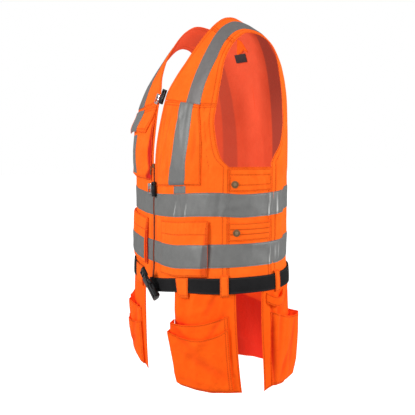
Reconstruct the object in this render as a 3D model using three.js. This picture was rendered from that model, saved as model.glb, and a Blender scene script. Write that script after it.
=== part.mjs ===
import * as THREE from "three";

// A high-visibility tool vest as it is worn, in millimetres. The origin is the middle of the shoulder
// line, z points up, the front faces -y and the wearer's left is +x.

// The body form that the cloth follows
const chestHalfWidth = 247;
const chestHalfDepth = 141;
const chestRoundness = 2.38;
const chestShift = -14.5;
const armholeDrop = 317;
const vestDrop = 573;
const neckHalfWidth = 80;
const neckRise = 25;
const shoulderHalfWidth = 165;
const shoulderFall = 0.52;
const shoulderTuck = 0.12;
const frontFullness = 1.68;
const backFullness = 3.4;
const neckFullness = 2.1;
const frontDroop = 9;
const hangWave = 6;
const foldDepth = 7;

// Cloth, tape and gaps
const clothWall = 1.4;
const tapeWall = 1;
const layerGap = 0.5;
const seamGap = 0.5;
const tapeWidth = 50;

// Seams, bands and what is sewn on, as drops below the shoulder line
const sideSeamAngle = 65;
const backSeamAngle = 98;
const yokeSeam = 0.325;
const seamTilt = 0.05;
const shoulderSeam = 0.76;
const neckBack = 0.7;
const upperBandDrop = 367;
const lowerBandDrop = 475;
const chestPocketClear = 15;
const chestPocketProud = 7;
const bagRise = 0.195;
const bagClear = 27;
const bellowsProud = 16;
const flapProud = 12;
// The right side of the chest stands out further than the left
const chestPush = 16;
const chestPushAt = -38;
const chestPushSpread = 19;
const lowerPocketDrop = 426;
const lowerPocketProud = 15;
const lowerPocketRows = [
  { name: "left", clear: 3 },
  { name: "right", clear: 11 },
];
const snapWidth = 17;
const snapHeight = 2.4;
const tabRows = [
  { name: "upper", band: upperBandDrop, top: 47, foot: 5, snapAngle: 70, snap: 18 },
  { name: "lower", band: lowerBandDrop, top: 45, foot: 6, snapAngle: 71.9, snap: 24 },
];
const zipWidth = 6.8;
const zipTopDrop = 316;
const pullLength = 26;

// The clips at the front edges
const clipHookWidth = 17;
const clipHookLength = 36;
const clipDepth = 7;
const clipCatchWidth = 20;
const clipCatchLength = 26;
const clipRows = [
  { name: "upper", rise: yokeSeam - 0.005, hookX: 9.5, catchX: -23, lift: 0.6, tilt: -14 },
  { name: "lower", drop: upperBandDrop - 8.3, hookX: 11, catchX: -15, lift: 2.2, tilt: 2 },
];

// The belt and what hangs on it
const beltDrop = 547;
const beltWidth = 36.4;
const beltWall = 2.2;
const beltLift = 2.7;
const beltStart = -1;
const beltEnd = 350;
const beltSteps = 50;
const beltDroop = 18;
const beltDroopTo = 24;
const loopRows = [
  { name: "wide_left", from: 24, to: 34.8, below: 13.6, wide: true },
  { name: "wide_right", from: -21, to: -9, below: 13.6, wide: true },
  { name: "front_left", from: 59, to: 65.5, below: 6.6 },
  { name: "front_right", from: -65.5, to: -59, below: 6.6 },
  { name: "back_left", from: 100.5, to: 105.5, below: 6.6 },
  { name: "back_right", from: -105.5, to: -100.5, below: 6.6 },
];
const holsterTuckIn = 7.9;
const flatShare = 0.87;
const pouchGap = 0.9;
const outerProud = 5;
const pouchStart = 0.01;
const hammerFrom = 93;
const hammerTo = 112;
const hammerBelow = 4.6;
const hammerSag = 14;
const hammerWidth = 22;
const hammerLift = 1.85;
const tabWidth = 44;
const tabHeight = 21;
const tabAngle = 183;
const tabRise = 0.49;
const buckleLength = 80;
const buckleWidth = 36;
const buckleDepth = 11;
const buckleX = 26;
const buckleStand = 22;
const buckleBelow = 6.6;
const buckleAxis = [0.526, 0.234, -0.818];
const buckleFacing = [0.3, -0.93, 0.2];

// Each row gives a level of the skirt, from the armholes (0) to the hem (1) and on down to the
// holsters, with its width and depth as shares of the chest
const skirtRows = [
  { level: 0, wide: 1, deep: 1 },
  { level: 0.5, wide: 0.985, deep: 1.004 },
  { level: 0.8, wide: 0.988, deep: 1.012 },
  { level: 1, wide: 1.006, deep: 1.03 },
  { level: 2, wide: 1.012, deep: 1.04 },
];

// How the level lines rise and fall round the body, as shares of the wave: at the upper band and at
// the lower band
const hangRows = [
  { angle: -180, high: 0, low: 0 },
  { angle: -100, high: -0.5, low: -0.5 },
  { angle: -38, high: 0.9, low: 0.3 },
  { angle: -20, high: 0, low: -0.4 },
  { angle: 0, high: -0.9, low: -1.4 },
  { angle: 20, high: -0.6, low: -1.9 },
  { angle: 38, high: 0, low: -1.1 },
  { angle: 58, high: -0.1, low: -0.8 },
  { angle: 76, high: -1, low: -0.7 },
  { angle: 98, high: -1, low: -0.8 },
  { angle: 130, high: 0, low: 0 },
  { angle: 180, high: 0, low: 0 },
];

// Long soft folds: the angle of each, its half width in degrees and its depth as a share
const foldRows = [
  { angle: 34, spread: 10, depth: 0.35 },
  { angle: 109, spread: 8, depth: 0.6 },
  { angle: 124, spread: 8, depth: -0.6 },
  { angle: 143, spread: 11, depth: 0.7 },
  { angle: 166, spread: 12, depth: -0.5 },
  { angle: 187, spread: 11, depth: 0.6 },
  { angle: 207, spread: 11, depth: -0.7 },
  { angle: 230, spread: 12, depth: 0.8 },
  { angle: 250, spread: 9, depth: -0.5 },
  { angle: -30, spread: 10, depth: 0.3 },
];

// The front edge: the share of the neck's half width at each share of the rise to the shoulder line
const neckRows = [
  { rise: 0, out: 0.05 },
  { rise: 0.09, out: 0.08 },
  { rise: 0.18, out: 0.11 },
  { rise: 0.27, out: 0.17 },
  { rise: 0.33, out: 0.2 },
  { rise: 0.37, out: 0.29 },
  { rise: 0.41, out: 0.43 },
  { rise: 0.46, out: 0.58 },
  { rise: 0.505, out: 0.7 },
  { rise: 0.555, out: 0.79 },
  { rise: 0.65, out: 0.9 },
  { rise: 0.76, out: 0.965 },
  { rise: 1, out: 1 },
];

// The back neckline, from its lowest point on the middle line
const neckBackRows = [
  { rise: 0.7, out: 0 },
  { rise: 0.715, out: 0.4 },
  { rise: 0.75, out: 0.68 },
  { rise: 0.82, out: 0.87 },
  { rise: 0.9, out: 0.96 },
  { rise: 1, out: 1 },
];

// The armhole edges: 0 is as far out as the shoulder's end, 1 is as far out as the side seam
const armFrontRows = [
  { rise: 0, out: 1 },
  { rise: 0.03, out: 0.92 },
  { rise: 0.06, out: 0.82 },
  { rise: 0.12, out: 0.71 },
  { rise: 0.2, out: 0.58 },
  { rise: 0.28, out: 0.45 },
  { rise: 0.36, out: 0.41 },
  { rise: 0.44, out: 0.35 },
  { rise: 0.52, out: 0.26 },
  { rise: 0.6, out: 0.13 },
  { rise: 0.7, out: 0.03 },
  { rise: 1, out: 0 },
];
const armBackRows = [
  { rise: 0, out: 1 },
  { rise: 0.025, out: 0.94 },
  { rise: 0.06, out: 0.86 },
  { rise: 0.12, out: 0.78 },
  { rise: 0.2, out: 0.71 },
  { rise: 0.3, out: 0.66 },
  { rise: 0.44, out: 0.6 },
  { rise: 0.55, out: 0.48 },
  { rise: 0.68, out: 0.34 },
  { rise: 0.8, out: 0.21 },
  { rise: 1, out: 0 },
];

// The lines of the shoulder tapes, front and back, as shares of the chest's half width. Below the
// yoke the outer line is the seam along the pockets.
const frontLineRows = [
  { rise: -1, tapeIn: 0.44, tapeOut: 0.705 },
  { rise: 0, tapeIn: 0.45, tapeOut: 0.717 },
  { rise: 0.14, tapeIn: 0.448, tapeOut: 0.708 },
  { rise: 0.23, tapeIn: 0.44, tapeOut: 0.675 },
  { rise: 0.325, tapeIn: 0.435, tapeOut: 0.625 },
  { rise: 0.42, tapeIn: 0.435, tapeOut: 0.607 },
  { rise: 0.6, tapeIn: 0.44, tapeOut: 0.607 },
  { rise: 0.76, tapeIn: 0.425, tapeOut: 0.58 },
  { rise: 1, tapeIn: 0.43, tapeOut: 0.6 },
];
const backLineRows = [
  { rise: -1, tapeIn: 0.35, tapeOut: 0.55 },
  { rise: 0, tapeIn: 0.35, tapeOut: 0.55 },
  { rise: 0.5, tapeIn: 0.395, tapeOut: 0.59 },
  { rise: 0.8, tapeIn: 0.42, tapeOut: 0.605 },
  { rise: 1, tapeIn: 0.43, tapeOut: 0.6 },
];

// The pockets stand off the front. The columns give how far at each place across the front, where
// tapeIn and tapeOut are the edges of the pocket's tape, and the rows at each share down the pocket.
const chestPocketColumns = [
  { at: 0.05, lift: 0 },
  { at: 0.2, lift: 0.6 },
  { at: "tapeIn", lift: 1 },
  { at: 0.4, lift: 1 },
  { at: "tapeOut", lift: 0.8 },
  { at: 0.6, lift: 0 },
];
const chestPocketDown = [
  { down: 0, lift: 0.15 },
  { down: 0.03, lift: 0.25 },
  { down: 0.3, lift: 0.8 },
  { down: 0.75, lift: 1 },
  { down: 0.95, lift: 0.7 },
  { down: 1, lift: 0 },
];
const bellowsColumns = [
  { at: 0.04, lift: 0 },
  { at: 0.075, lift: 1 },
  { at: "tapeIn", lift: 0.6 },
  { at: 0.4, lift: 0.5 },
  { at: "tapeOut", lift: 0.35 },
  { at: 0.575, lift: 0.2 },
  { at: 0.6, lift: 0 },
];
const bellowsDown = [
  { down: 0, lift: 0.9 },
  { down: 0.5, lift: 1 },
  { down: 0.9, lift: 0.8 },
  { down: 1, lift: 0 },
];
const chestPushRows = [
  { rise: 0.08, share: 0 },
  { rise: 0.2, share: 0.45 },
  { rise: 0.26, share: 0.8 },
  { rise: 0.325, share: 1 },
  { rise: 0.4, share: 0.9 },
  { rise: 0.47, share: 0.75 },
  { rise: 0.54, share: 0.42 },
  { rise: 0.65, share: 0.06 },
  { rise: 0.75, share: 0 },
];
const flapColumns = [
  { at: 0.02, cut: 0.05 },
  { at: 0.2, cut: 0.035 },
  { at: "tapeIn", cut: 0 },
  { at: 0.4, cut: 0 },
  { at: "tapeOut", cut: 0 },
  { at: 0.6, cut: 0 },
  { at: 0.66, cut: 0 },
];
const lowerPocketColumns = [
  { at: 0.12, left: 0, right: 0 },
  { at: 0.16, left: 0.15, right: 0.6 },
  { at: 0.267, left: 0.25, right: 0.45 },
  { at: 0.4, left: 0.45, right: 0.35 },
  { at: 0.6, left: 0.85, right: 0.35 },
  { at: 0.66, left: 1, right: 0.4 },
  { at: 0.72, left: 0, right: 0 },
];
const lowerPocketDown = [
  { down: 0, left: 0.75, right: 0.4 },
  { down: 0.15, left: 1, right: 0.7 },
  { down: 0.85, left: 0.85, right: 1 },
  { down: 1, left: 0.3, right: 0.6 },
];

// The edges of the tapes on the chest pockets, as shares across the front
const pocketTapeRows = [
  { rise: -0.14, tapeIn: 0.262, tapeOut: 0.47 },
  { rise: -0.08, tapeIn: 0.285, tapeOut: 0.485 },
  { rise: 0.05, tapeIn: 0.335, tapeOut: 0.492 },
  { rise: 0.18, tapeIn: 0.345, tapeOut: 0.507 },
  { rise: 0.325, tapeIn: 0.325, tapeOut: 0.525 },
];

// The holsters under the belt. from and to are the angles of the ends at the belt, length is measured
// from the top edge behind the belt, shift is how far round the foot has moved, tuck is how far in it
// hangs, and proud is how far the pouches stand off. A turned holster has its flat strip at its first
// end.
const holsterRows = [
  { name: "front_left", from: 20.5, to: 71, length: 227.5, shift: 5, tuck: 0, proud: 24, pouches: 2, turned: false },
  { name: "back_left", from: 90, to: 139, length: 235.5, shift: 3, tuck: 4, proud: 24, pouches: 1, turned: true },
  { name: "front_right", from: -53, to: -7.5, length: 232.5, shift: -4, tuck: 14, proud: 20, pouches: 2, turned: false },
  { name: "back_right", from: -192, to: -142, length: 262.5, shift: 0, tuck: 0, proud: 18, pouches: 1, turned: false },
];

// The foot line of each holster as a share of its length, from the pouch's outer end (0) to the flat
// strip (1)
const footLines = [
  { across: 0, front_left: 0.955, back_left: 0.965, front_right: 0.86, back_right: 0.87 },
  { across: 0.06, front_left: 0.98, back_left: 0.985, front_right: 0.9, back_right: 0.9 },
  { across: 0.25, front_left: 0.995, back_left: 0.995, front_right: 0.94, back_right: 0.93 },
  { across: 0.5, front_left: 1, back_left: 0.99, front_right: 0.97, back_right: 0.97 },
  { across: 0.75, front_left: 1, back_left: 0.975, front_right: 0.985, back_right: 0.99 },
  { across: 0.87, front_left: 1, back_left: 0.97, front_right: 0.99, back_right: 0.995 },
  { across: 1, front_left: 1, back_left: 1, front_right: 1, back_right: 1 },
];

// The mouths of the pouches as shares of the holster's length, and how far the pouches stand off. The
// far columns are those of the front right holster, whose mouths hang open.
const mouthLines = [
  { across: 0, mouth: 0.335, outerMouth: 0.405, farMouth: 0.215, farOuterMouth: 0.5, lift: 0.35 },
  { across: 0.06, mouth: 0.35, outerMouth: 0.43, farMouth: 0.33, farOuterMouth: 0.55, lift: 1 },
  { across: 0.25, mouth: 0.355, outerMouth: 0.475, farMouth: 0.345, farOuterMouth: 0.57, lift: 0.75 },
  { across: 0.5, mouth: 0.33, outerMouth: 0.475, farMouth: 0.35, farOuterMouth: 0.55, lift: 0.45 },
  { across: 0.75, mouth: 0.28, outerMouth: 0.42, farMouth: 0.35, farOuterMouth: 0.52, lift: 0.25 },
  { across: 0.87, mouth: 0.25, outerMouth: 0.37, farMouth: 0.35, farOuterMouth: 0.5, lift: 0 },
  { across: 1, mouth: 0.25, outerMouth: 0.37, farMouth: 0.35, farOuterMouth: 0.5, lift: 0 },
];
const pouchDown = [
  { down: 0, front_left: 1, back_left: 1, front_right: 1, back_right: 1 },
  { down: 0.3, front_left: 0.82, back_left: 0.97, front_right: 1.05, back_right: 0.82 },
  { down: 0.6, front_left: 0.6, back_left: 0.92, front_right: 1, back_right: 0.6 },
  { down: 0.8, front_left: 0.5, back_left: 0.85, front_right: 0.8, back_right: 0.5 },
  { down: 0.93, front_left: 0.4, back_left: 0.7, front_right: 0.5, back_right: 0.4 },
  { down: 1, front_left: 0, back_left: 0.1, front_right: 0, back_right: 0 },
];
const farHolster = "front_right";

const degrees = Math.PI / 180;
const skirtLength = vestDrop - armholeDrop;
const group = new THREE.Group();

function lerp(a, b, share) {
  return a + (b - a) * share;
}

function clamp(value, low, high) {
  return Math.min(Math.max(value, low), high);
}

function smooth(value) {
  const share = clamp(value, 0, 1);
  return share * share * (3 - 2 * share);
}

// Reads one column of a table at a place between its rows, on a smooth curve through the rows
function readTable(rows, key, place, column) {
  const last = rows.length - 1;
  const value = clamp(place, rows[0][key], rows[last][key]);
  let i = 0;
  while (i < last - 1 && value > rows[i + 1][key]) {
    i += 1;
  }
  const slope = (k) => {
    const low = rows[Math.max(k - 1, 0)];
    const high = rows[Math.min(k + 1, last)];
    return (high[column] - low[column]) / (high[key] - low[key]);
  };
  const step = rows[i + 1][key] - rows[i][key];
  const u = (value - rows[i][key]) / step;
  const hermite = [2 * u ** 3 - 3 * u ** 2 + 1, u ** 3 - 2 * u ** 2 + u, 3 * u ** 2 - 2 * u ** 3, u ** 3 - u ** 2];
  return hermite[0] * rows[i][column] + hermite[1] * step * slope(i)
    + hermite[2] * rows[i + 1][column] + hermite[3] * step * slope(i + 1);
}

function power(value, exponent) {
  return Math.sign(value) * Math.abs(value) ** exponent;
}

function turn(angle) {
  const whole = ((angle + 180) % 360 + 360) % 360;
  return whole - 180;
}

// The sum of the long folds at an angle
function foldAt(angle) {
  let sum = 0;
  for (const fold of foldRows) {
    const away = turn(angle - fold.angle) / fold.spread;
    sum += fold.depth * Math.exp(-away * away);
  }
  return sum * foldDepth;
}

// The garment's outer face. rise is negative in the skirt (-1 is the hem), 0 at the armholes and
// 1 on the shoulder line
function surface(angle, rise) {
  const sine = Math.sin(angle * degrees);
  const cosine = Math.cos(angle * degrees);
  const level = Math.max(-rise, 0);
  const wide = chestHalfWidth * readTable(skirtRows, "level", level, "wide");
  const deep = chestHalfDepth * readTable(skirtRows, "level", level, "deep");
  let x = wide * power(sine, 2 / chestRoundness);
  let y = chestShift - deep * power(cosine, 2 / chestRoundness);
  let z = -armholeDrop - level * skirtLength;
  const out = new THREE.Vector2(sine / wide, -cosine / deep).normalize();
  if (rise > 0) {
    const bend = (rise * Math.PI) / 2;
    const nape = smooth((Math.abs(turn(angle)) - 130) / 42);
    const fullness = cosine > 0 ? frontFullness : lerp(backFullness, neckFullness, nape);
    x *= 1 - shoulderTuck * rise * rise;
    y *= Math.cos(bend) ** (2 / fullness);
    const pushed = Math.exp(-(((turn(angle) - chestPushAt) / chestPushSpread) ** 2));
    y -= chestPush * pushed * readTable(chestPushRows, "rise", rise, "share");
    const top = neckRise - shoulderFall * (Math.abs(x) - neckHalfWidth);
    z = lerp(-armholeDrop, top, Math.sin(bend) ** (2 / fullness));
  }
  const fold = foldAt(angle) * smooth((0.72 - rise) / 0.4) * smooth((0.88 - level) / 0.25);
  const high = readTable(hangRows, "angle", turn(angle), "high");
  const low = readTable(hangRows, "angle", turn(angle), "low");
  const hang = lerp(high, low, clamp((level - 0.3) / 0.42, 0, 1)) * clamp((1.2 - level) / 0.3, 0, 1);
  z += (hangWave * hang - frontDroop * cosine) * smooth(level * 5);
  return new THREE.Vector3(x + out.x * fold, y + out.y * fold, z);
}

// The angle at which the surface is a given distance from the middle line
function angleOf(x, rise, back) {
  const wide = chestHalfWidth * (1 - shoulderTuck * Math.max(rise, 0) ** 2)
    * readTable(skirtRows, "level", Math.max(-rise, 0), "wide");
  const angle = Math.asin(clamp(Math.abs(x) / wide, 0, 1) ** (chestRoundness / 2)) / degrees;
  return Math.sign(x) * (back ? 180 - angle : angle);
}

function riseOf(drop) {
  return (armholeDrop - drop) / skirtLength;
}

// The outward direction of the garment's face
function outward(angle, rise) {
  const step = 0.5;
  const climb = 0.004;
  const side = surface(angle + step, rise).sub(surface(angle - step, rise));
  const up = surface(angle, Math.min(rise + climb, 1)).sub(surface(angle, Math.min(rise, 1) - climb));
  return side.cross(up).normalize();
}

// Rows of points on a face, with the outward direction at each. Between its points the sheet is
// flat from point to point, so that layers on it stay apart.
class Sheet {
  constructor(across, along, points, normals) {
    this.across = across;
    this.along = along;
    this.points = points;
    this.normals = normals;
  }

  cell(list, value) {
    let k = 0;
    while (k < list.length - 2 && value > list[k + 1]) {
      k += 1;
    }
    return [k, (value - list[k]) / (list[k + 1] - list[k])];
  }

  at(s, v, lift) {
    const [j, a] = this.cell(this.across, s);
    const [i, b] = this.cell(this.along, v);
    const mix = (grid) => grid[i][j].clone().lerp(grid[i][j + 1], a)
      .lerp(grid[i + 1][j].clone().lerp(grid[i + 1][j + 1], a), b);
    return mix(this.points).addScaledVector(mix(this.normals), lift);
  }
}

// A sheet on the garment's own face: place gives the angle and the rise of each point, and off how
// far it stands off the face
function bodySheet(across, along, place, off = () => 0) {
  const spots = along.map((v) => across.map((s) => place(s, v)));
  const normals = spots.map((row) => row.map(([angle, rise]) => outward(angle, rise)));
  const points = spots.map((row, i) => row.map(([angle, rise], j) => surface(angle, rise)
    .addScaledVector(normals[i][j], off(along[i]))));
  return new Sheet(across, along, points, normals);
}

// A sheet that stands off another one: spot gives the place on it and the lift of each point
function raisedSheet(base, across, along, spot) {
  const points = along.map((v) => across.map((s) => base.at(...spot(s, v))));
  const normals = points.map((row, i) => row.map((point, j) => {
    const up = points[Math.min(i + 1, along.length - 1)][j].clone().sub(points[Math.max(i - 1, 0)][j]);
    const side = row[Math.min(j + 1, row.length - 1)].clone().sub(row[Math.max(j - 1, 0)]);
    const normal = side.cross(up).normalize();
    const [s, v, lift] = spot(across[j], along[i]);
    const out = base.at(s, v, lift + 1).sub(point);
    return normal.dot(out) < 0 ? normal.negate() : normal;
  }));
  return new Sheet(across, along, points, normals);
}

function spread(low, high, count) {
  return Array.from({ length: count + 1 }, (_, k) => lerp(low, high, k / count));
}

// The sheet's own lines between two values, with the two values at the ends
function linesBetween(lines, low, high) {
  const margin = Math.abs(high - low) * 0.03;
  return [low, ...lines.filter((value) => value > low + margin && value < high - margin), high];
}

// Lines of a piece with the lines of the sheet under it, less those that fall close to its own
function mergeLines(own, others, margin) {
  const kept = others.filter((value) => own.every((line) => Math.abs(line - value) > margin));
  return [...own, ...kept].sort((a, b) => a - b);
}

// Pairs of points, low face and high face, over a part of a sheet
function patch(sheet, across, along, low, high) {
  return along.map((v) => across.map((s) => {
    const place = typeof s === "function" ? s(v) : s;
    return [sheet.at(place, v, low), sheet.at(place, v, high)];
  }));
}

// The same, along the sheet's own lines between two places each way
function linedPatch(sheet, [left, right], [foot, top], low, high) {
  return patch(sheet, linesBetween(sheet.across, left, right), linesBetween(sheet.along, foot, top), low, high);
}

function facesOut(grid) {
  const i = Math.floor((grid.length - 1) / 2);
  const j = Math.floor((grid[0].length - 1) / 2);
  const side = grid[i][j + 1][1].clone().sub(grid[i][j][1]);
  const up = grid[i + 1][j][1].clone().sub(grid[i][j][1]);
  return side.cross(up).dot(grid[i][j][1].clone().sub(grid[i][j][0])) > 0;
}

// Closes grids of point pairs into one body: both faces, and a wall wherever a grid ends
function closedCloth(name, grids, material) {
  const keys = new Map();
  const positions = [];
  const vertex = (point) => {
    const key = point.toArray().map((value) => Math.round(value * 1000)).join(",");
    if (!keys.has(key)) {
      keys.set(key, positions.length / 3);
      positions.push(point.x, point.y, point.z);
    }
    return keys.get(key);
  };
  const triangles = [];
  const edges = new Map();
  for (const grid of grids) {
    const rows = facesOut(grid) ? grid : grid.map((row) => [...row].reverse());
    for (let i = 0; i < rows.length - 1; i += 1) {
      for (let j = 0; j < rows[i].length - 1; j += 1) {
        const corners = [rows[i][j], rows[i][j + 1], rows[i + 1][j + 1], rows[i + 1][j]];
        const low = corners.map((pair) => vertex(pair[0]));
        const high = corners.map((pair) => vertex(pair[1]));
        triangles.push([high[0], high[1], high[2]], [high[0], high[2], high[3]]);
        triangles.push([low[0], low[2], low[1]], [low[0], low[3], low[2]]);
        for (let k = 0; k < 4; k += 1) {
          const next = (k + 1) % 4;
          const key = [high[k], high[next]].sort((a, b) => a - b).join(",");
          if (edges.has(key)) {
            edges.delete(key);
          } else {
            edges.set(key, [low[k], low[next], high[k], high[next]]);
          }
        }
      }
    }
  }
  for (const [lowA, lowB, highA, highB] of edges.values()) {
    triangles.push([lowA, lowB, highB], [lowA, highB, highA]);
  }
  return addMesh(name, positions, triangles, material);
}

// Sets a hard piece on the face, turned to it: its own z points out
function setOn(name, geometry, angle, rise, lift, material, tilt = 0, spot = surface(angle, rise)) {
  const out = outward(angle, rise);
  const across = new THREE.Vector3(-out.y, out.x, 0).normalize();
  const up = out.clone().cross(across);
  const place = spot.clone().addScaledVector(out, lift);
  geometry.rotateZ(tilt * degrees);
  geometry.applyMatrix4(new THREE.Matrix4().makeBasis(across, up, out).setPosition(place));
  const mesh = new THREE.Mesh(geometry, material);
  mesh.name = name;
  group.add(mesh);
  return mesh;
}

// Adds a mesh from its points and triangles
function addMesh(name, positions, triangles, material) {
  const solid = triangles.filter(([a, b, c]) => a !== b && b !== c && a !== c);
  const geometry = new THREE.BufferGeometry();
  geometry.setAttribute("position", new THREE.Float32BufferAttribute(positions, 3));
  geometry.setIndex(solid.flat());
  geometry.computeVertexNormals();
  const mesh = new THREE.Mesh(geometry, material);
  mesh.name = name;
  group.add(mesh);
  return mesh;
}

function finish(color, roughness, metalness = 0) {
  return new THREE.MeshStandardMaterial({ color, roughness, metalness });
}

const orange = () => finish(0xff701e, 0.85);
const holsterOrange = () => finish(0xff5a0a, 0.85);
const silverTape = () => finish(0x80807d, 0.45);
const webbing = () => finish(0x1e1e20, 0.8);
const hardBlack = () => finish(0x1a1a1c, 0.4);
const gunmetal = () => finish(0x8a8068, 0.35, 0.9);
const chrome = () => finish(0xc8c8cc, 0.15, 1);
const zipDark = () => finish(0x5a2a1c, 0.6);

// The lines of points that all the panels share. The tape lines fall on lines of the sheets.
const bandRows = [upperBandDrop, upperBandDrop + tapeWidth, lowerBandDrop, lowerBandDrop + tapeWidth].map(riseOf);
const skirtLevels = mergeLines([-1, 0, ...bandRows], spread(-1, 0, 10), 0.08);
const frontRises = [0.06, 0.14, 0.23, yokeSeam, 0.42, 0.52, 0.61, 0.69, shoulderSeam];
const backRises = [0.07, 0.18, 0.31, 0.44, 0.57, neckBack, 0.72, 0.76, 0.83, 0.91, 1, 1.07, 1.15, 2 - shoulderSeam];
const tapeInLine = 0.4;
const tapeOutLine = 0.6;
const frontLines = [...spread(0, tapeInLine, 3), ...spread(tapeOutLine, 1, 3)];
const backLines = [...spread(0, tapeInLine, 3), ...spread(tapeOutLine, 1, 5)];
const underLines = spread(sideSeamAngle, backSeamAngle, 3);

const sideSeamX = surface(sideSeamAngle, 0).x;
const backSeamX = surface(backSeamAngle, 0).x;

// The angle on a panel between its inner edge (0), its two tape lines and its outer edge (1)
function panelAngle(s, inner, tapeIn, tapeOut, outer) {
  if (s < tapeInLine) {
    return lerp(inner, tapeIn, s / tapeInLine);
  }
  if (s < tapeOutLine) {
    return lerp(tapeIn, tapeOut, (s - tapeInLine) / (tapeOutLine - tapeInLine));
  }
  return lerp(tapeOut, outer, (s - tapeOutLine) / (1 - tapeOutLine));
}

// The yoke seam climbs a little less toward the middle than the level lines do
function frontRise(s, v) {
  return v + seamTilt * (s - 0.35) * smooth(v / 0.2) * smooth((shoulderSeam - v) / 0.3);
}

// One front half, from the middle edge to the side seam and the armhole edge
function frontAngle(s, rise) {
  const climb = Math.max(rise, 0);
  const edge = readTable(neckRows, "rise", climb, "out") * neckHalfWidth;
  const arm = lerp(shoulderHalfWidth, sideSeamX, readTable(armFrontRows, "rise", climb, "out"));
  const tapeIn = readTable(frontLineRows, "rise", rise, "tapeIn") * chestHalfWidth;
  const tapeOut = readTable(frontLineRows, "rise", rise, "tapeOut") * chestHalfWidth;
  const outer = rise > 0 ? angleOf(arm, rise) : sideSeamAngle;
  return panelAngle(s, angleOf(edge, rise), angleOf(tapeIn, rise), angleOf(tapeOut, rise), outer);
}

// One back half, from the middle line or the neckline to the back seam and the armhole edge. It
// carries on over the shoulder line to the shoulder seam, where its rise goes on past 1.
function backSpot(side, s, rise) {
  if (rise > 1) {
    return [side * frontAngle(s, 2 - rise), 2 - rise];
  }
  const climb = Math.max(rise, 0);
  const edge = rise > neckBack ? readTable(neckBackRows, "rise", rise, "out") * neckHalfWidth : 0;
  const arm = lerp(shoulderHalfWidth, backSeamX, readTable(armBackRows, "rise", climb, "out"));
  const tapeIn = readTable(backLineRows, "rise", rise, "tapeIn") * chestHalfWidth;
  const tapeOut = readTable(backLineRows, "rise", rise, "tapeOut") * chestHalfWidth;
  const inner = edge > 0 ? angleOf(edge, rise, true) : 180;
  const outer = rise > 0 ? angleOf(arm, rise, true) : backSeamAngle;
  const angle = panelAngle(s, inner, angleOf(tapeIn, rise, true), angleOf(tapeOut, rise, true), outer);
  return [side * angle, rise];
}

const sheets = {};
for (const [name, side] of [["left", 1], ["right", -1]]) {
  sheets[name] = {
    front: bodySheet(frontLines, [...skirtLevels, ...frontRises], (s, v) => {
      const rise = frontRise(s, v);
      return [side * frontAngle(s, rise), rise];
    }),
    back: bodySheet(backLines, [...skirtLevels, ...backRises], (s, rise) => backSpot(side, s, rise)),
    under: bodySheet(underLines, skirtLevels, (angle, rise) => [side * angle, rise]),
  };
}

// Half of the seam gap, as a share of each panel's width or climb
const frontInset = seamGap / 2 / 250;
const underInset = (seamGap / 2 / chestHalfWidth) / degrees;
const backInset = seamGap / 2 / 330;
const riseInset = seamGap / 2 / armholeDrop;

for (const name of ["left", "right"]) {
  const { front, back, under } = sheets[name];
  const cloth = [-clothWall, 0];
  closedCloth(`front_${name}`, [linedPatch(front, [0, 1 - frontInset], [-1, yokeSeam - riseInset], ...cloth)], orange());
  closedCloth(`yoke_${name}`,
    [linedPatch(front, [0, 1], [yokeSeam + riseInset, shoulderSeam - riseInset], ...cloth)], orange());
  closedCloth(`side_${name}`, [linedPatch(under,
    [sideSeamAngle + underInset, backSeamAngle - underInset], [-1, 0], ...cloth)], orange());
}
closedCloth("back_panel", ["left", "right"].map((name) => linedPatch(sheets[name].back,
  [0, 1 - backInset], [-1, 2 - shoulderSeam - riseInset], -clothWall, 0)), orange());

// The reflective bands: each runs from the middle edge to the back seam, and across the back
const tapeLift = [layerGap, layerGap + tapeWall];
for (const [band, drop] of [["upper", upperBandDrop], ["lower", lowerBandDrop]]) {
  const rows = [riseOf(drop + tapeWidth), riseOf(drop)];
  for (const name of ["left", "right"]) {
    const { front, under } = sheets[name];
    closedCloth(`band_${band}_${name}`, [
      linedPatch(front, [0, 1], rows, ...tapeLift),
      linedPatch(under, [sideSeamAngle, backSeamAngle - underInset], rows, ...tapeLift),
    ], silverTape());
  }
  closedCloth(`band_${band}_back`, ["left", "right"].map((name) => linedPatch(sheets[name].back,
    [0, 1 - backInset], rows, ...tapeLift)), silverTape());
}

// The shoulder tapes: up the yoke, over the shoulder and down the back to the upper band
for (const name of ["left", "right"]) {
  const { front, back } = sheets[name];
  const width = [tapeInLine, tapeOutLine];
  closedCloth(`tape_shoulder_${name}`, [
    linedPatch(front, width, [yokeSeam + riseInset, shoulderSeam], ...tapeLift),
    linedPatch(back, width, [riseOf(upperBandDrop - seamGap), 2 - shoulderSeam], ...tapeLift),
  ], silverTape());
}

// Reads one column of a table at a place between its rows, on straight lines
function readStraight(rows, key, place, column) {
  const last = rows.length - 1;
  const value = clamp(place, rows[0][key], rows[last][key]);
  let i = 0;
  while (i < last - 1 && value > rows[i + 1][key]) {
    i += 1;
  }
  const share = (value - rows[i][key]) / (rows[i + 1][key] - rows[i][key]);
  return lerp(rows[i][column], rows[i + 1][column], share);
}

// A place across a front: a share, or one of the edges of the pocket's tape
function columnPlace(at, v) {
  return typeof at === "string" ? readStraight(pocketTapeRows, "rise", v, at) : at;
}

// A pocket on a front: it is sewn down at its sides and foot and stands off by its own tables. Its
// columns are counted from 0.
function pocketSheet(base, [foot, top], edgeLift, proud, columns, downRows, key) {
  const own = [...downRows.map((row) => lerp(top, foot, row.down)),
    ...bandRows.filter((v) => v > foot && v < top)];
  const along = mergeLines(own, base.along.filter((v) => v > foot && v < top), 0.03);
  return raisedSheet(base, columns.map((_, k) => k), along, (k, v) => [columnPlace(columns[k].at, v), v,
    edgeLift + proud * columns[k][key] * readStraight(downRows, "down", (top - v) / (top - foot), key)]);
}

function wholePatch(sheet, low, high) {
  return patch(sheet, sheet.across, sheet.along, low, high);
}

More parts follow.
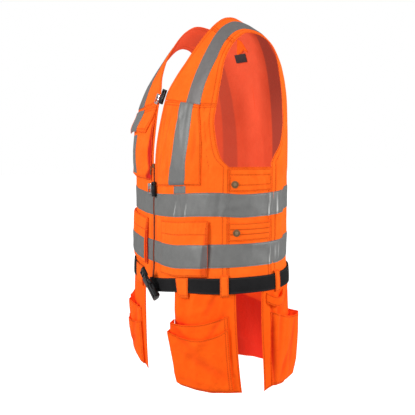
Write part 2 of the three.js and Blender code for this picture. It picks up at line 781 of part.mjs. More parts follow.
// A tape on a pocket, from one of its columns to another and between two shares down
function pocketTape(sheet, [first, last], [lowest, highest]) {
  const foot = sheet.along[0];
  const top = sheet.along[sheet.along.length - 1];
  return patch(sheet, sheet.across.filter((k) => k >= first && k <= last),
    sheet.along.filter((v) => v > lerp(top, foot, lowest) - 1e-6 && v < lerp(top, foot, highest) + 1e-6),
    clothWall + layerGap, clothWall + layerGap + tapeWall);
}

const overBand = tapeLift[1] + layerGap;
const overPanel = 2.2 * layerGap;

// Chest pockets
const chestPocketFoot = riseOf(upperBandDrop - chestPocketClear);
const pocketLeft = pocketSheet(sheets.left.front, [chestPocketFoot, yokeSeam - riseInset],
  overPanel, chestPocketProud, chestPocketColumns, chestPocketDown, "lift");
closedCloth("chest_pocket_left", [wholePatch(pocketLeft, 0, clothWall)], orange());
closedCloth("tape_pocket_left", [pocketTape(pocketLeft, [2, 4], [0.95, 0.03])], silverTape());
closedCloth("tape_stub_left", [patch(sheets.left.front,
  [0.33, tapeInLine, 0.47], [riseOf(upperBandDrop - seamGap), chestPocketFoot - 0.012], ...tapeLift)], silverTape());

const pocketRight = pocketSheet(sheets.right.front, [riseOf(upperBandDrop - bagClear), bagRise],
  overPanel, bellowsProud, bellowsColumns, bellowsDown, "lift");
closedCloth("chest_pocket_right", [wholePatch(pocketRight, 0, clothWall)], orange());
closedCloth("tape_pocket_right", [pocketTape(pocketRight, [2, 4], [0.9, 0])], silverTape());

// The flap hangs from under the yoke seam over the bag pocket, and its inner corner is cut off
const flapTop = yokeSeam - 0.02;
const flapFoot = bagRise + 0.012;
const flapSheet = raisedSheet(sheets.right.front, flapColumns.map((_, k) => k), spread(flapFoot, flapTop, 4),
  (k, v) => {
    const down = smooth((flapTop - v) / (flapTop - flapFoot));
    const { at, cut } = flapColumns[k];
    return [columnPlace(at, v) + cut * down, v, overPanel - 0.5 * layerGap + flapProud * Math.min(down * 1.1, 1)];
  });
closedCloth("chest_flap_right", [wholePatch(flapSheet, 0, clothWall)], orange());
closedCloth("tape_flap_right", [pocketTape(flapSheet, [2, 4], [1, 0])], silverTape());

// Lower pockets with their part of the lower band
for (const { name, clear } of lowerPocketRows) {
  const sheet = pocketSheet(sheets[name].front, [riseOf(beltDrop - clear), riseOf(lowerPocketDrop)],
    overBand, lowerPocketProud, lowerPocketColumns, lowerPocketDown, name);
  closedCloth(`lower_pocket_${name}`, [wholePatch(sheet, 0, clothWall)], orange());
  closedCloth(`band_pocket_${name}`, [patch(sheet, [0, 1, 2, 3, 4, 5],
    sheet.along.filter((v) => v > bandRows[3] - 1e-6 && v < bandRows[2] + 1e-6), clothWall + layerGap,
    clothWall + layerGap + tapeWall)], silverTape());
}

// Tabs on the side panels, each with a snap
for (const name of ["left", "right"]) {
  const side = name === "left" ? 1 : -1;
  for (const tab of tabRows) {
    const lines = linesBetween(underLines, sideSeamAngle + 0.6, backSeamAngle - 0.6);
    const rows = [tab.foot, (tab.top + tab.foot) / 2, tab.top].map((up) => riseOf(tab.band - up));
    const snapRise = riseOf(tab.band - tab.snap);
    closedCloth(`tab_${tab.name}_${name}`,
      [patch(sheets[name].under, lines, rows, layerGap, layerGap + clothWall)], orange());
    const snap = new THREE.CylinderGeometry(snapWidth * 0.42, snapWidth / 2, snapHeight, 10).rotateX(Math.PI / 2);
    const place = sheets[name].under.at(tab.snapAngle, snapRise,
      2.5 * layerGap + clothWall + snapHeight / 2);
    setOn(`snap_${tab.name}_${name}`, snap, side * tab.snapAngle, snapRise, 0, gunmetal(), 0, place);
  }
}

// A strip on the body form: across by its own angles, and down by rows of drop and lift
function hipStrip(angles, rows, wall, droop = () => 0) {
  return angles.map((angle) => rows.map((row) => {
    const rise = riseOf(row.drop + droop(angle));
    const place = surface(angle, rise);
    const out = outward(angle, rise);
    return [place.clone().addScaledVector(out, row.lift), place.addScaledVector(out, row.lift + wall)];
  }));
}

// The zip between the fronts, closed below the zip's top, with its pull
const zipLevels = linesBetween(skirtLevels, -1, riseOf(zipTopDrop));
closedCloth("zip_chain", [zipLevels.map((rise) => [-1, 1].map((side) => {
  const angle = angleOf((side * zipWidth) / 2, rise);
  return [-clothWall, layerGap].map((lift) => surface(angle, rise).addScaledVector(outward(angle, rise), lift));
}))], zipDark());

// Closed solid from flat outlines: rings of points that share their count, capped at both ends
function ringSolid(rings) {
  const count = rings[0].length;
  const positions = rings.flat(2);
  const triangles = [];
  rings.slice(1).forEach((_, r) => {
    for (let k = 0; k < count; k += 1) {
      const next = (k + 1) % count;
      const [a, b] = [r * count + k, r * count + next];
      triangles.push([a, b, b + count], [a, b + count, a + count]);
    }
  });
  for (let k = 1; k < count - 1; k += 1) {
    const top = (rings.length - 1) * count;
    triangles.push([0, k + 1, k], [top, top + k, top + k + 1]);
  }
  const geometry = new THREE.BufferGeometry();
  geometry.setAttribute("position", new THREE.Float32BufferAttribute(positions, 3));
  geometry.setIndex(triangles.flat());
  return geometry;
}

// A block with cut corners and an edge all round that is a little smaller at front and back
function roundedBlock(width, height, depth, corner, edge) {
  const ring = (inset, z) => {
    const x = width / 2 - inset;
    const y = height / 2 - inset;
    const cut = corner - inset * 0.5;
    return [[x, cut - y], [x, y - cut], [x - cut, y], [cut - x, y], [-x, y - cut], [-x, cut - y], [cut - x, -y],
      [x - cut, -y]].map(([a, b]) => [a, b, z]);
  };
  return ringSolid([ring(edge, -depth / 2), ring(0, edge - depth / 2), ring(0, depth / 2 - edge), ring(edge, depth / 2)]);
}

setOn("zip_pull", roundedBlock(5, pullLength, 2.4, 1.6, 0.6), -1.2, riseOf(zipTopDrop + pullLength * 0.35),
  layerGap * 2 + 1, gunmetal(), -8);

// The clips across the front edges: a black hook on the left side and a bright catch on the right
for (const clip of clipRows) {
  const rise = clip.rise ?? riseOf(clip.drop);
  setOn(`clip_hook_${clip.name}`, roundedBlock(clipHookWidth, clipHookLength, clipDepth, 5, 1.2),
    angleOf(clip.hookX, rise), rise, clip.lift + clipDepth / 2, hardBlack(), clip.tilt);
  setOn(`clip_catch_${clip.name}`, roundedBlock(clipCatchWidth, clipCatchLength, clipDepth * 0.6, 4, 1),
    angleOf(clip.catchX, rise), rise, clip.lift + clipDepth * 0.3, chrome(), clip.tilt);
}

// The belt runs from one side of the buckle round the back to the other. Its first end hangs lower.
const beltRows = [{ drop: beltDrop + beltWidth, lift: beltLift }, { drop: beltDrop, lift: beltLift }];
const beltAngles = spread(beltStart, beltEnd, beltSteps);
const endDroop = (angle) => beltDroop * Math.max(0, (beltDroopTo - angle) / (beltDroopTo - beltStart)) ** 1.2;
closedCloth("belt", [hipStrip(beltAngles, beltRows, beltWall, endDroop)], webbing());

// Loops of cloth over the belt
const overBelt = beltLift + beltWall + 2 * layerGap;
for (const loop of loopRows) {
  const rows = [
    { drop: beltDrop + beltWidth + loop.below, lift: overBelt - 1 },
    { drop: beltDrop + beltWidth + 1.5, lift: overBelt },
    { drop: beltDrop - 1, lift: overBelt },
    { drop: beltDrop - 6, lift: 2 * layerGap },
  ].slice(0, loop.wide ? 3 : 4);
  const steps = loop.wide ? 2 : 1;
  closedCloth(`belt_loop_${loop.name}`, [hipStrip(spread(loop.from, loop.to, steps), rows, clothWall)], orange());
}

// The buckle hangs askew in front of the belt's ends
const buckleSeat = surface(angleOf(buckleX, -1), -1);
const axis = new THREE.Vector3(...buckleAxis).normalize();
const facing = new THREE.Vector3(...buckleFacing).projectOnPlane(axis).normalize();
const buckleShape = roundedBlock(buckleWidth, buckleLength, buckleDepth, 10, 2.5);
buckleShape.applyMatrix4(new THREE.Matrix4().makeBasis(axis.clone().cross(facing).negate(), axis.clone().negate(), facing)
  .setPosition(buckleX, buckleSeat.y - buckleStand, -beltDrop - beltWidth - buckleBelow));
const buckle = new THREE.Mesh(buckleShape, hardBlack());
buckle.name = "belt_buckle";
group.add(buckle);

// Holsters: a backing with pouches on it, each open at its mouth. A holster's rows go up from its
// foot (0) to the belt (1).
const holsterDrop = beltDrop + beltWidth - holsterTuckIn;
for (const row of holsterRows) {
  const share = (u) => (row.turned ? 1 - u : u);
  const foot = (u) => readStraight(footLines, "across", share(u), row.name);
  const place = (u, up) => [lerp(row.from, row.to, u) + row.shift * (1 - up) ** 2,
    riseOf(lerp(holsterDrop + row.length, holsterDrop, lerp(1 - foot(u), 1, up)))];
  const across = footLines.map((line) => share(line.across)).sort((a, b) => a - b);
  const backing = bodySheet(across, [0, 0.15, 0.4, 0.65, 0.85, 1], place, (up) => -row.tuck * (1 - up) ** 1.6);
  closedCloth(`holster_${row.name}`, [wholePatch(backing, 0, clothWall)], holsterOrange());

  const pouchColumns = across.filter((u) => share(u) <= flatShare + 1e-6);
  const pouchOn = (column, start, edgeLift, proud) => raisedSheet(backing, pouchColumns, [0, 0.07, 0.2, 0.45, 0.7, 1],
    (u, up) => {
      const mouth = 1 - readStraight(mouthLines, "across", share(u), column) / foot(u);
      return [u, lerp(start, mouth, up), edgeLift + proud * readStraight(mouthLines, "across", share(u), "lift")
        * readStraight(pouchDown, "down", 1 - up, row.name)];
    });
  const [mouth, outerMouth] = row.name === farHolster ? ["farMouth", "farOuterMouth"] : ["mouth", "outerMouth"];
  const pouch = pouchOn(mouth, pouchStart, clothWall + pouchGap, row.proud);
  closedCloth(`pouch_${row.name}`, [wholePatch(pouch, 0, clothWall)], holsterOrange());
  if (row.pouches > 1) {
    const outer = pouchOn(outerMouth, pouchStart, 2 * clothWall + 3 * pouchGap, row.proud + outerProud);
    closedCloth(`pouch_outer_${row.name}`, [wholePatch(outer, 0, clothWall)], holsterOrange());
  }
}

// The hammer loop hangs in a bow under the belt
const hammerTop = beltDrop + beltWidth + hammerBelow;
const bow = spread(0, 1, 8).map((t) => {
  const angle = lerp(hammerFrom, hammerTo, t);
  const sag = hammerSag * Math.sin(Math.PI * t) ** 0.8;
  return [hammerTop + sag + hammerWidth, hammerTop + sag].map((drop) => {
    const rise = riseOf(drop);
    const out = outward(angle, rise);
    const lift = hammerLift + 9 * Math.sin(Math.PI * t);
    return [lift, lift + clothWall].map((value) => surface(angle, rise).addScaledVector(out, value));
  });
});
closedCloth("hammer_loop", [bow], holsterOrange());

// The blank tab inside the back of the neck
setOn("inner_tab", roundedBlock(tabWidth, tabHeight, 1.2, 1.5, 0.3), tabAngle, tabRise, -clothWall - 3, webbing());

export default group;
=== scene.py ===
import math

import bmesh
import bpy
import numpy as np
from mathutils import Matrix, Vector


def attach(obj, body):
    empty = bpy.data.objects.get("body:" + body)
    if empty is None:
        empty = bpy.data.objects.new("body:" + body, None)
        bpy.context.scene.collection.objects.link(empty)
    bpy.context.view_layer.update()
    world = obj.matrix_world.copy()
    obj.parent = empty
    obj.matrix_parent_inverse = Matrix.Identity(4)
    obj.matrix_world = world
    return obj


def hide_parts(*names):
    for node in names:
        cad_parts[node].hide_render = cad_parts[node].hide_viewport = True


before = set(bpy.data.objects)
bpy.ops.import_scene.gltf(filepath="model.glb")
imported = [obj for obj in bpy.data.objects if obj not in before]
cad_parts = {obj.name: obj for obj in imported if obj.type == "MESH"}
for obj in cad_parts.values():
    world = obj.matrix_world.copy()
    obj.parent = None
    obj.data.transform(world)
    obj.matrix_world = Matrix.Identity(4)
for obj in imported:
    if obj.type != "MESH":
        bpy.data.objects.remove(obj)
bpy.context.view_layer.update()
print("frame loaded")

# Camera: to the wearer's left of the front, a little above the middle of the vest
cameraSet = {
    "target": (-0.00083, -0.01356, -0.4205),
    "back": (0.8805, -0.4682, 0.0739),
    "right": (0.4695, 0.8829, 0),
    "distance": 1.9,
    "lens": 67.68,
    "sensor": 36,
}


def cameraAxes():
    return Vector(cameraSet["right"]).normalized(), Vector(cameraSet["back"]).normalized()


def placeCamera():
    right, back = cameraAxes()
    up = back.cross(right)
    camera = bpy.data.objects.new("camera", bpy.data.cameras.new("camera"))
    bpy.context.collection.objects.link(camera)
    turned = Matrix((right, up, back)).transposed().to_4x4()
    place = Vector(cameraSet["target"]) + back * cameraSet["distance"]
    camera.matrix_world = Matrix.Translation(place) @ turned
    camera.data.lens = cameraSet["lens"]
    camera.data.sensor_width = cameraSet["sensor"]
    bpy.context.scene.camera = camera


placeCamera()
bpy.context.scene.view_settings.view_transform = "Standard"
print("camera placed")

# The body form, in millimetres and degrees: the same sizes as the frame's solids
form = {
    "halfWidth": 247, "halfDepth": 141, "roundness": 2.38, "shift": -14.5, "armholeDrop": 317,
    "vestDrop": 573, "neckHalfWidth": 80, "neckRise": 25, "shoulderHalfWidth": 165,
    "shoulderFall": 0.52, "shoulderTuck": 0.12, "frontFullness": 1.68, "backFullness": 3.4,
    "neckFullness": 2.1, "frontDroop": 9, "hangWave": 6, "foldDepth": 7,
    "chestPush": 16, "chestPushAt": -38, "chestPushSpread": 19,
}
# Seams: angles of the side panels' two edges, and rises of the yoke, the shoulder and the neck
seams = {"side": 65, "back": 98, "yoke": 0.325, "tilt": 0.05, "shoulder": 0.76, "neckBack": 0.7}
skirtLength = form["vestDrop"] - form["armholeDrop"]

# Tables read by readRows, each down one measure of the vest
skirtRows = {
    "level": [0, 0.5, 0.8, 1, 2],
    "wide": [1, 0.985, 0.988, 1.006, 1.012],
    "deep": [1, 1.004, 1.012, 1.03, 1.04],
}
hangRows = {
    "angle": [-180, -100, -38, -20, 0, 20, 38, 58, 76, 98, 130, 180],
    "high": [0, -0.5, 0.9, 0, -0.9, -0.6, 0, -0.1, -1, -1, 0, 0],
    "low": [0, -0.5, 0.3, -0.4, -1.4, -1.9, -1.1, -0.8, -0.7, -0.8, 0, 0],
}
chestPushRows = {
    "rise": [0.08, 0.2, 0.26, 0.325, 0.4, 0.47, 0.54, 0.65, 0.75],
    "share": [0, 0.45, 0.8, 1, 0.9, 0.75, 0.42, 0.06, 0],
}
foldRows = {
    "angle": [34, 109, 124, 143, 166, 187, 207, 230, 250, -30],
    "spread": [10, 8, 8, 11, 12, 11, 11, 12, 9, 10],
    "depth": [0.35, 0.6, -0.6, 0.7, -0.5, 0.6, -0.7, 0.8, -0.5, 0.3],
}
neckRows = {
    "rise": [0, 0.09, 0.18, 0.27, 0.33, 0.37, 0.41, 0.46, 0.505, 0.555, 0.65, 0.76, 1],
    "out": [0.05, 0.08, 0.11, 0.17, 0.2, 0.29, 0.43, 0.58, 0.7, 0.79, 0.9, 0.965, 1],
}
neckBackRows = {"rise": [0.7, 0.715, 0.75, 0.82, 0.9, 1], "out": [0, 0.4, 0.68, 0.87, 0.96, 1]}
armFrontRows = {
    "rise": [0, 0.03, 0.06, 0.12, 0.2, 0.28, 0.36, 0.44, 0.52, 0.6, 0.7, 1],
    "out": [1, 0.92, 0.82, 0.71, 0.58, 0.45, 0.41, 0.35, 0.26, 0.13, 0.03, 0],
}
armBackRows = {
    "rise": [0, 0.025, 0.06, 0.12, 0.2, 0.3, 0.44, 0.55, 0.68, 0.8, 1],
    "out": [1, 0.94, 0.86, 0.78, 0.71, 0.66, 0.6, 0.48, 0.34, 0.21, 0],
}
frontLineRows = {
    "rise": [-1, 0, 0.14, 0.23, 0.325, 0.42, 0.6, 0.76, 1],
    "tapeIn": [0.44, 0.45, 0.448, 0.44, 0.435, 0.435, 0.44, 0.425, 0.43],
    "tapeOut": [0.705, 0.717, 0.708, 0.675, 0.625, 0.607, 0.607, 0.58, 0.6],
}
backLineRows = {
    "rise": [-1, 0, 0.5, 0.8, 1],
    "tapeIn": [0.35, 0.35, 0.395, 0.42, 0.43],
    "tapeOut": [0.55, 0.55, 0.59, 0.605, 0.6],
}


def smooth(value):
    share = np.clip(value, 0, 1)
    return share * share * (3 - 2 * share)


# Reads one column of a table between its rows, on a smooth curve through them
def readRows(rows, key, column, place):
    x = np.array(rows[key], float)
    y = np.array(rows[column], float)
    value = np.clip(place, x[0], x[-1])
    i = np.clip(np.searchsorted(x, value, side="left") - 1, 0, len(x) - 2)
    low = np.maximum(np.arange(len(x)) - 1, 0)
    high = np.minimum(np.arange(len(x)) + 1, len(x) - 1)
    slope = (y[high] - y[low]) / (x[high] - x[low])
    step = x[i + 1] - x[i]
    u = (value - x[i]) / step
    return ((2 * u**3 - 3 * u**2 + 1) * y[i] + (u**3 - 2 * u**2 + u) * step * slope[i]
            + (3 * u**2 - 2 * u**3) * y[i + 1] + (u**3 - u**2) * step * slope[i + 1])


def power(value, exponent):
    return np.sign(value) * np.abs(value) ** exponent


def turn(angle):
    return (np.asarray(angle) + 180) % 360 - 180


# The vest's outer face at an angle round the body and a rise: -1 at the hem, 0 at the armholes,
# 1 on the shoulder line
def bodyPoint(angle, rise):
    angle, rise = np.broadcast_arrays(np.asarray(angle, float), np.asarray(rise, float))
    sine, cosine = np.sin(np.radians(angle)), np.cos(np.radians(angle))
    level, climb = np.maximum(-rise, 0), np.clip(rise, 0, 1)
    wide = form["halfWidth"] * readRows(skirtRows, "level", "wide", level)
    deep = form["halfDepth"] * readRows(skirtRows, "level", "deep", level)
    x = wide * power(sine, 2 / form["roundness"]) * (1 - form["shoulderTuck"] * climb**2)
    y = form["shift"] - deep * power(cosine, 2 / form["roundness"])
    nape = smooth((np.abs(turn(angle)) - 130) / 42)
    back = form["backFullness"] + (form["neckFullness"] - form["backFullness"]) * nape
    fullness = np.where(cosine > 0, form["frontFullness"], back)
    bend = climb * math.pi / 2
    y = y * np.where(climb > 0, np.cos(bend) ** (2 / fullness), 1)
    beside = (turn(angle) - form["chestPushAt"]) / form["chestPushSpread"]
    y = y - form["chestPush"] * np.exp(-(beside ** 2)) * readRows(chestPushRows, "rise", "share", climb)
    top = form["neckRise"] - form["shoulderFall"] * (np.abs(x) - form["neckHalfWidth"])
    z = (top + form["armholeDrop"]) * np.sin(bend) ** (2 / fullness)
    z = -form["armholeDrop"] + z - level * skirtLength
    fold = sum(depth * np.exp(-((turn(angle - at) / spread) ** 2))
               for at, spread, depth in zip(foldRows["angle"], foldRows["spread"], foldRows["depth"]))
    fold = fold * form["foldDepth"] * smooth((0.72 - rise) / 0.4) * smooth((0.88 - level) / 0.25)
    high = readRows(hangRows, "angle", "high", turn(angle))
    low = readRows(hangRows, "angle", "low", turn(angle))
    hang = high + (low - high) * np.clip((level - 0.3) / 0.42, 0, 1)
    hang = hang * np.clip((1.2 - level) / 0.3, 0, 1)
    z = z + (form["hangWave"] * hang - form["frontDroop"] * cosine) * smooth(level * 5)
    out = np.stack([sine / wide, -cosine / deep], -1)
    out = out / np.linalg.norm(out, axis=-1, keepdims=True)
    return np.stack([x + out[..., 0] * fold, y + out[..., 1] * fold, z], -1)


def unit(vectors):
    return vectors / np.maximum(np.linalg.norm(vectors, axis=-1, keepdims=True), 1e-9)


def outward(angle, rise):
    angle, rise = np.broadcast_arrays(np.asarray(angle, float), np.asarray(rise, float))
    side = bodyPoint(angle + 0.5, rise) - bodyPoint(angle - 0.5, rise)
    up = bodyPoint(angle, np.minimum(rise + 0.004, 1)) - bodyPoint(angle, np.minimum(rise, 1) - 0.004)
    return unit(np.cross(side, up))


def angleOf(x, rise, back=False):
    wide = form["halfWidth"] * (1 - form["shoulderTuck"] * np.maximum(rise, 0) ** 2)
    wide = wide * readRows(skirtRows, "level", "wide", np.maximum(-np.asarray(rise, float), 0))
    angle = np.degrees(np.arcsin(np.clip(np.abs(x) / wide, 0, 1) ** (form["roundness"] / 2)))
    return np.sign(x) * (180 - angle if back else angle)


def riseOf(drop):
    return (form["armholeDrop"] - drop) / skirtLength


# Soft creases in the cloth. Each has its place, its slope from level, its length and width in
# millimetres and its depth: below zero is a hollow. The scale turns degrees round the body and a
# rise above the armholes into millimetres.
creaseScale = {"around": 3.75, "up": 330, "ripple": 0.35}
creases = [
    # angle, rise, slope, length, width, depth
    # left front, by the zip and over the chest
    (9, 0.14, 80, 60, 5, -1.6), (18, 0.16, 62, 44, 5, -1.8), (12.5, 0.16, 60, 40, 4.5, 2.2),
    (7, -0.02, 76, 50, 5, 1.4), (13, 0.27, 130, 30, 4, 2.4), (17, 0.28, 122, 34, 4, -2.2),
    (21, 0.27, 112, 36, 4.5, 2.0), (26, 0.28, 100, 34, 4.5, -1.6), (11, 0.06, 72, 45, 5, -1.6),
    (14, 0.02, 74, 60, 5, 1.6), (36, 0.12, 88, 90, 14, -1.0), (45, 0.2, 78, 60, 8, -1.4),
    (52, 0.05, 84, 70, 9, 1.6), (58, -0.1, 86, 60, 8, -1.4), (49, -0.05, 70, 40, 7, 1.0),
    (30, 0.5, 68, 60, 11, 1.5), (36, 0.62, 60, 45, 10, -1.4), (24, 0.42, 75, 50, 9, -1.2),
    (40, 0.45, 72, 55, 8, 1.0),
    # left side
    (96, -0.35, 86, 60, 4, 2.2), (100, -0.3, 84, 70, 3.6, -2.0), (104, -0.4, 88, 80, 4, 2.2),
    (93, -0.2, 80, 50, 5, -1.6), (108, -0.3, 86, 90, 5, -1.8), (97, -0.75, 86, 45, 4, 1.9),
    (101, -0.78, 84, 45, 3.6, -1.8), (106, -0.75, 88, 45, 4, 1.8),
    # left front, between the bands
    (20, -0.35, 76, 32, 3.6, 1.6), (25, -0.33, 98, 28, 3.4, -1.5), (30, -0.37, 80, 30, 3.6, 1.4),
    (36, -0.35, 72, 26, 4, -1.2), (76, -0.5, 12, 40, 7, -1.2), (84, -0.62, -10, 45, 7, 1.2),
    (70, -0.3, 8, 40, 7, 1.0), (62, -0.33, 60, 26, 5, 1.0),
    # under the left armhole
    (68, -0.06, 70, 18, 4, -1.3), (74, -0.05, 96, 18, 4, 1.3), (80, -0.06, 104, 20, 4, -1.4),
    (87, -0.07, 110, 24, 4, 1.6), (92, -0.08, 116, 26, 4, -1.6), (96, -0.05, 120, 28, 4, 1.6),
    # right front and side
    (-22, 0.1, 98, 60, 7, 1.7), (-30, -0.1, 96, 60, 7, -1.6), (-45, 0.2, 100, 60, 8, 1.4),
    (-55, -0.2, 94, 70, 8, -1.4), (-12, 0.24, 60, 34, 5, 1.8), (-18, 0.27, 66, 34, 5, -1.6),
    (-68, -0.06, 110, 18, 4, -1.3), (-80, -0.06, 76, 20, 4, 1.4), (-100, -0.4, 94, 70, 4, 2.0),
    (-105, -0.3, 96, 70, 4, -2.0), (-96, -0.7, 94, 50, 4, 1.8), (-76, -0.5, -12, 40, 7, -1.0),
    # back
    (150, 0.1, 84, 90, 13, 2.2), (170, -0.1, 88, 110, 13, -2.0), (192, 0.1, 92, 110, 13, 2.0),
    (212, -0.2, 96, 90, 12, -2.2), (135, -0.3, 80, 70, 9, -2.0), (228, 0.15, 98, 80, 11, 1.8),
    (160, -0.62, 20, 60, 9, 1.3), (200, -0.6, -16, 60, 9, -1.3), (145, 0.45, 70, 90, 11, 2.0),
    (128, 0.4, 78, 90, 9, -1.8), (215, 0.45, 110, 90, 11, 2.0), (232, 0.4, 102, 90, 9, -1.8),
]


# A soft ridge along a slope, where x and y are measured from its middle
def ridgeAt(x, y, slope, length, width):
    c, s = math.cos(math.radians(slope)), math.sin(math.radians(slope))
    run, off = x * c + y * s, -x * s + y * c
    return np.exp(-((off / width) ** 2) - (run / length) ** 2)


def climbOf(rise):
    return np.where(rise > 0, rise * creaseScale["up"], rise * skirtLength)


def creaseAt(angle, rise):
    total = np.zeros(np.shape(angle))
    climb = climbOf(rise)
    for at, height, slope, length, width, depth in creases:
        across = turn(angle - at) * creaseScale["around"]
        total += depth * ridgeAt(across, climb - climbOf(height), slope, length, width)
    ripple = (np.sin(angle * 0.31 + rise * 9) * np.sin(rise * 21 + angle * 0.12)
              + 0.6 * np.sin(angle * 0.83 - rise * 17 + 2))
    return total + creaseScale["ripple"] * ripple


# How brightly a tape is painted to glint along its sharp creases, as a painted highlight
glint = {"reach": 0.7, "least": 0.28, "gain": 1.8, "most": 0.85}


def glintAt(angle, rise):
    beside = (creaseAt(angle - glint["reach"], rise) + creaseAt(angle + glint["reach"], rise)) / 2
    sharp = creaseAt(angle, rise) - beside - glint["least"]
    return np.clip(sharp * glint["gain"], 0, glint["most"])


# Materials
def nodeIn(tree, kind, **settings):
    node = tree.nodes.new(kind)
    for name, value in settings.items():
        setattr(node, name, value)
    return node


# Links a socket to a node's output, or sets its own value
def feed(tree, socket, value):
    if isinstance(value, bpy.types.NodeSocket):
        tree.links.new(value, socket)
    elif isinstance(value, tuple):
        socket.default_value = (*value, 1)
    elif value is not None:
        socket.default_value = value


def mathNode(tree, operation, first, second=None, clamp=False):
    node = nodeIn(tree, "ShaderNodeMath", operation=operation, use_clamp=clamp)
    feed(tree, node.inputs[0], first)
    feed(tree, node.inputs[1], second)
    return node.outputs[0]


def rangeNode(tree, value, low, high, start=0.0, end=1.0):
    node = nodeIn(tree, "ShaderNodeMapRange", interpolation_type="SMOOTHSTEP")
    tree.links.new(value, node.inputs["Value"])
    for name, number in (("From Min", low), ("From Max", high), ("To Min", start), ("To Max", end)):
        node.inputs[name].default_value = number
    return node.outputs["Result"]


def mixColor(tree, share, first, second):
    node = nodeIn(tree, "ShaderNodeMix", data_type="RGBA")
    feed(tree, node.inputs["Factor"], share)
    feed(tree, node.inputs[6], first)  # inputs 6 and 7 are the two colours
    feed(tree, node.inputs[7], second)
    return node.outputs[2]


def attribute(tree, name):
    return nodeIn(tree, "ShaderNodeAttribute", attribute_name=name).outputs["Fac"]


def newGroup(name, inputs, outputs):
    tree = bpy.data.node_groups.new(name, "ShaderNodeTree")
    for title, kind, value in inputs:
        socket = tree.interface.new_socket(title, in_out="INPUT", socket_type="NodeSocket" + kind)
        if value is not None:
            socket.default_value = value
    for title, kind in outputs:
        tree.interface.new_socket(title, in_out="OUTPUT", socket_type="NodeSocket" + kind)
    return tree, tree.nodes.new("NodeGroupInput"), tree.nodes.new("NodeGroupOutput")


# Plain weave: crossing threads, read from the piece's own flat map in metres
def weaveGroup():
    tree, given, result = newGroup("weave", [("Flat", "Vector", None), ("Pitch", "Float", 0.0008)],
                                   [("Height", "Float")])
    parts = nodeIn(tree, "ShaderNodeSeparateXYZ")
    tree.links.new(given.outputs["Flat"], parts.inputs[0])
    waves = []
    for axis in (0, 1):
        turns = mathNode(tree, "DIVIDE", parts.outputs[axis], given.outputs["Pitch"])
        waves.append(mathNode(tree, "SINE", mathNode(tree, "MULTIPLY", turns, math.pi)))
    height = mathNode(tree, "MULTIPLY", waves[0], waves[1])
    # what is added is the node's own 0.5, so the height runs from 0 to 1
    tree.links.new(mathNode(tree, "MULTIPLY_ADD", height, 0.5), result.inputs["Height"])
    return tree


# Rows of stitches: distance from the row and way along it come from the seam map, in metres
def stitchGroup():
    tree, given, result = newGroup("stitches", [("Seam", "Vector", None), ("Stitch", "Float", 0.0034)],
                                   [("Thread", "Float"), ("Dent", "Float")])
    parts = nodeIn(tree, "ShaderNodeSeparateXYZ")
    tree.links.new(given.outputs["Seam"], parts.inputs[0])
    off = mathNode(tree, "ABSOLUTE", parts.outputs[0])
    line = rangeNode(tree, off, 0.0004, 0.0008, 1, 0)
    step = mathNode(tree, "FRACT", mathNode(tree, "DIVIDE", parts.outputs[1], given.outputs["Stitch"]))
    apart = mathNode(tree, "ABSOLUTE", mathNode(tree, "SUBTRACT", step, 0.5))
    dash = rangeNode(tree, apart, 0.34, 0.42, 1, 0)
    tree.links.new(mathNode(tree, "MULTIPLY", line, dash), result.inputs["Thread"])
    tree.links.new(rangeNode(tree, off, 0.0006, 0.0018, 1, 0), result.inputs["Dent"])
    return tree


# Crumpled cloth: two sizes of soft noise on the object's own place
def crumpleGroup():
    tree, given, result = newGroup("crumple", [("Place", "Vector", None), ("Scale", "Float", 30.0)],
                                   [("Height", "Float"), ("Shade", "Float")])
    total = None
    for share, ratio in ((0.7, 1), (0.3, 3.7)):
        noise = nodeIn(tree, "ShaderNodeTexNoise", noise_dimensions="3D")
        noise.inputs["Detail"].default_value = 2
        tree.links.new(given.outputs["Place"], noise.inputs["Vector"])
        tree.links.new(mathNode(tree, "MULTIPLY", given.outputs["Scale"], ratio), noise.inputs["Scale"])
        part = mathNode(tree, "MULTIPLY", noise.outputs[0], share)
        total = part if total is None else mathNode(tree, "ADD", total, part)
    tree.links.new(total, result.inputs["Height"])
    tree.links.new(rangeNode(tree, total, 0.3, 0.7), result.inputs["Shade"])
    return tree


weave, stitches, crumple = weaveGroup(), stitchGroup(), crumpleGroup()


# A group reads its vector first, and its other values are set by name
def useGroup(tree, group, vector, **values):
    node = nodeIn(tree, "ShaderNodeGroup", node_tree=group)
    tree.links.new(vector, node.inputs[0])
    for name, value in values.items():
        node.inputs[name].default_value = value
    return node


def newMaterial(name, rough, metal=0.0, **sockets):
    material = bpy.data.materials.new(name)
    material.use_nodes = True
    tree = material.node_tree
    shader = tree.nodes["Principled BSDF"]
    shader.inputs["Roughness"].default_value = rough
    shader.inputs["Metallic"].default_value = metal
    for title, value in sockets.items():
        feed(tree, shader.inputs[title.replace("_", " ")], value)
    return material, tree, shader


# Bumps one over another, each a height with its distance in metres and its strength
def bumpInto(tree, shader, heights):
    normal = None
    for height, distance, strength in heights:
        bump = nodeIn(tree, "ShaderNodeBump")
        bump.inputs["Distance"].default_value = distance
        bump.inputs["Strength"].default_value = strength
        tree.links.new(height, bump.inputs["Height"])
        if normal is not None:
            tree.links.new(normal, bump.inputs["Normal"])
        normal = bump.outputs[0]
    tree.links.new(normal, shader.inputs["Normal"])


def mapNode(tree, name):
    return nodeIn(tree, "ShaderNodeUVMap", uv_map=name).outputs[0]


# What every woven finish reads: the heights of its weave and crumple, and its stitches
def wovenNodes(tree, pitch, crumpled):
    place = nodeIn(tree, "ShaderNodeTexCoord").outputs["Object"]
    woven = useGroup(tree, weave, mapNode(tree, "flat"), Pitch=pitch).outputs["Height"]
    row = useGroup(tree, stitches, mapNode(tree, "seam")).outputs
    soft = useGroup(tree, crumple, place, Scale=crumpled).outputs
    return woven, row, soft


clothCrumple = 26.0
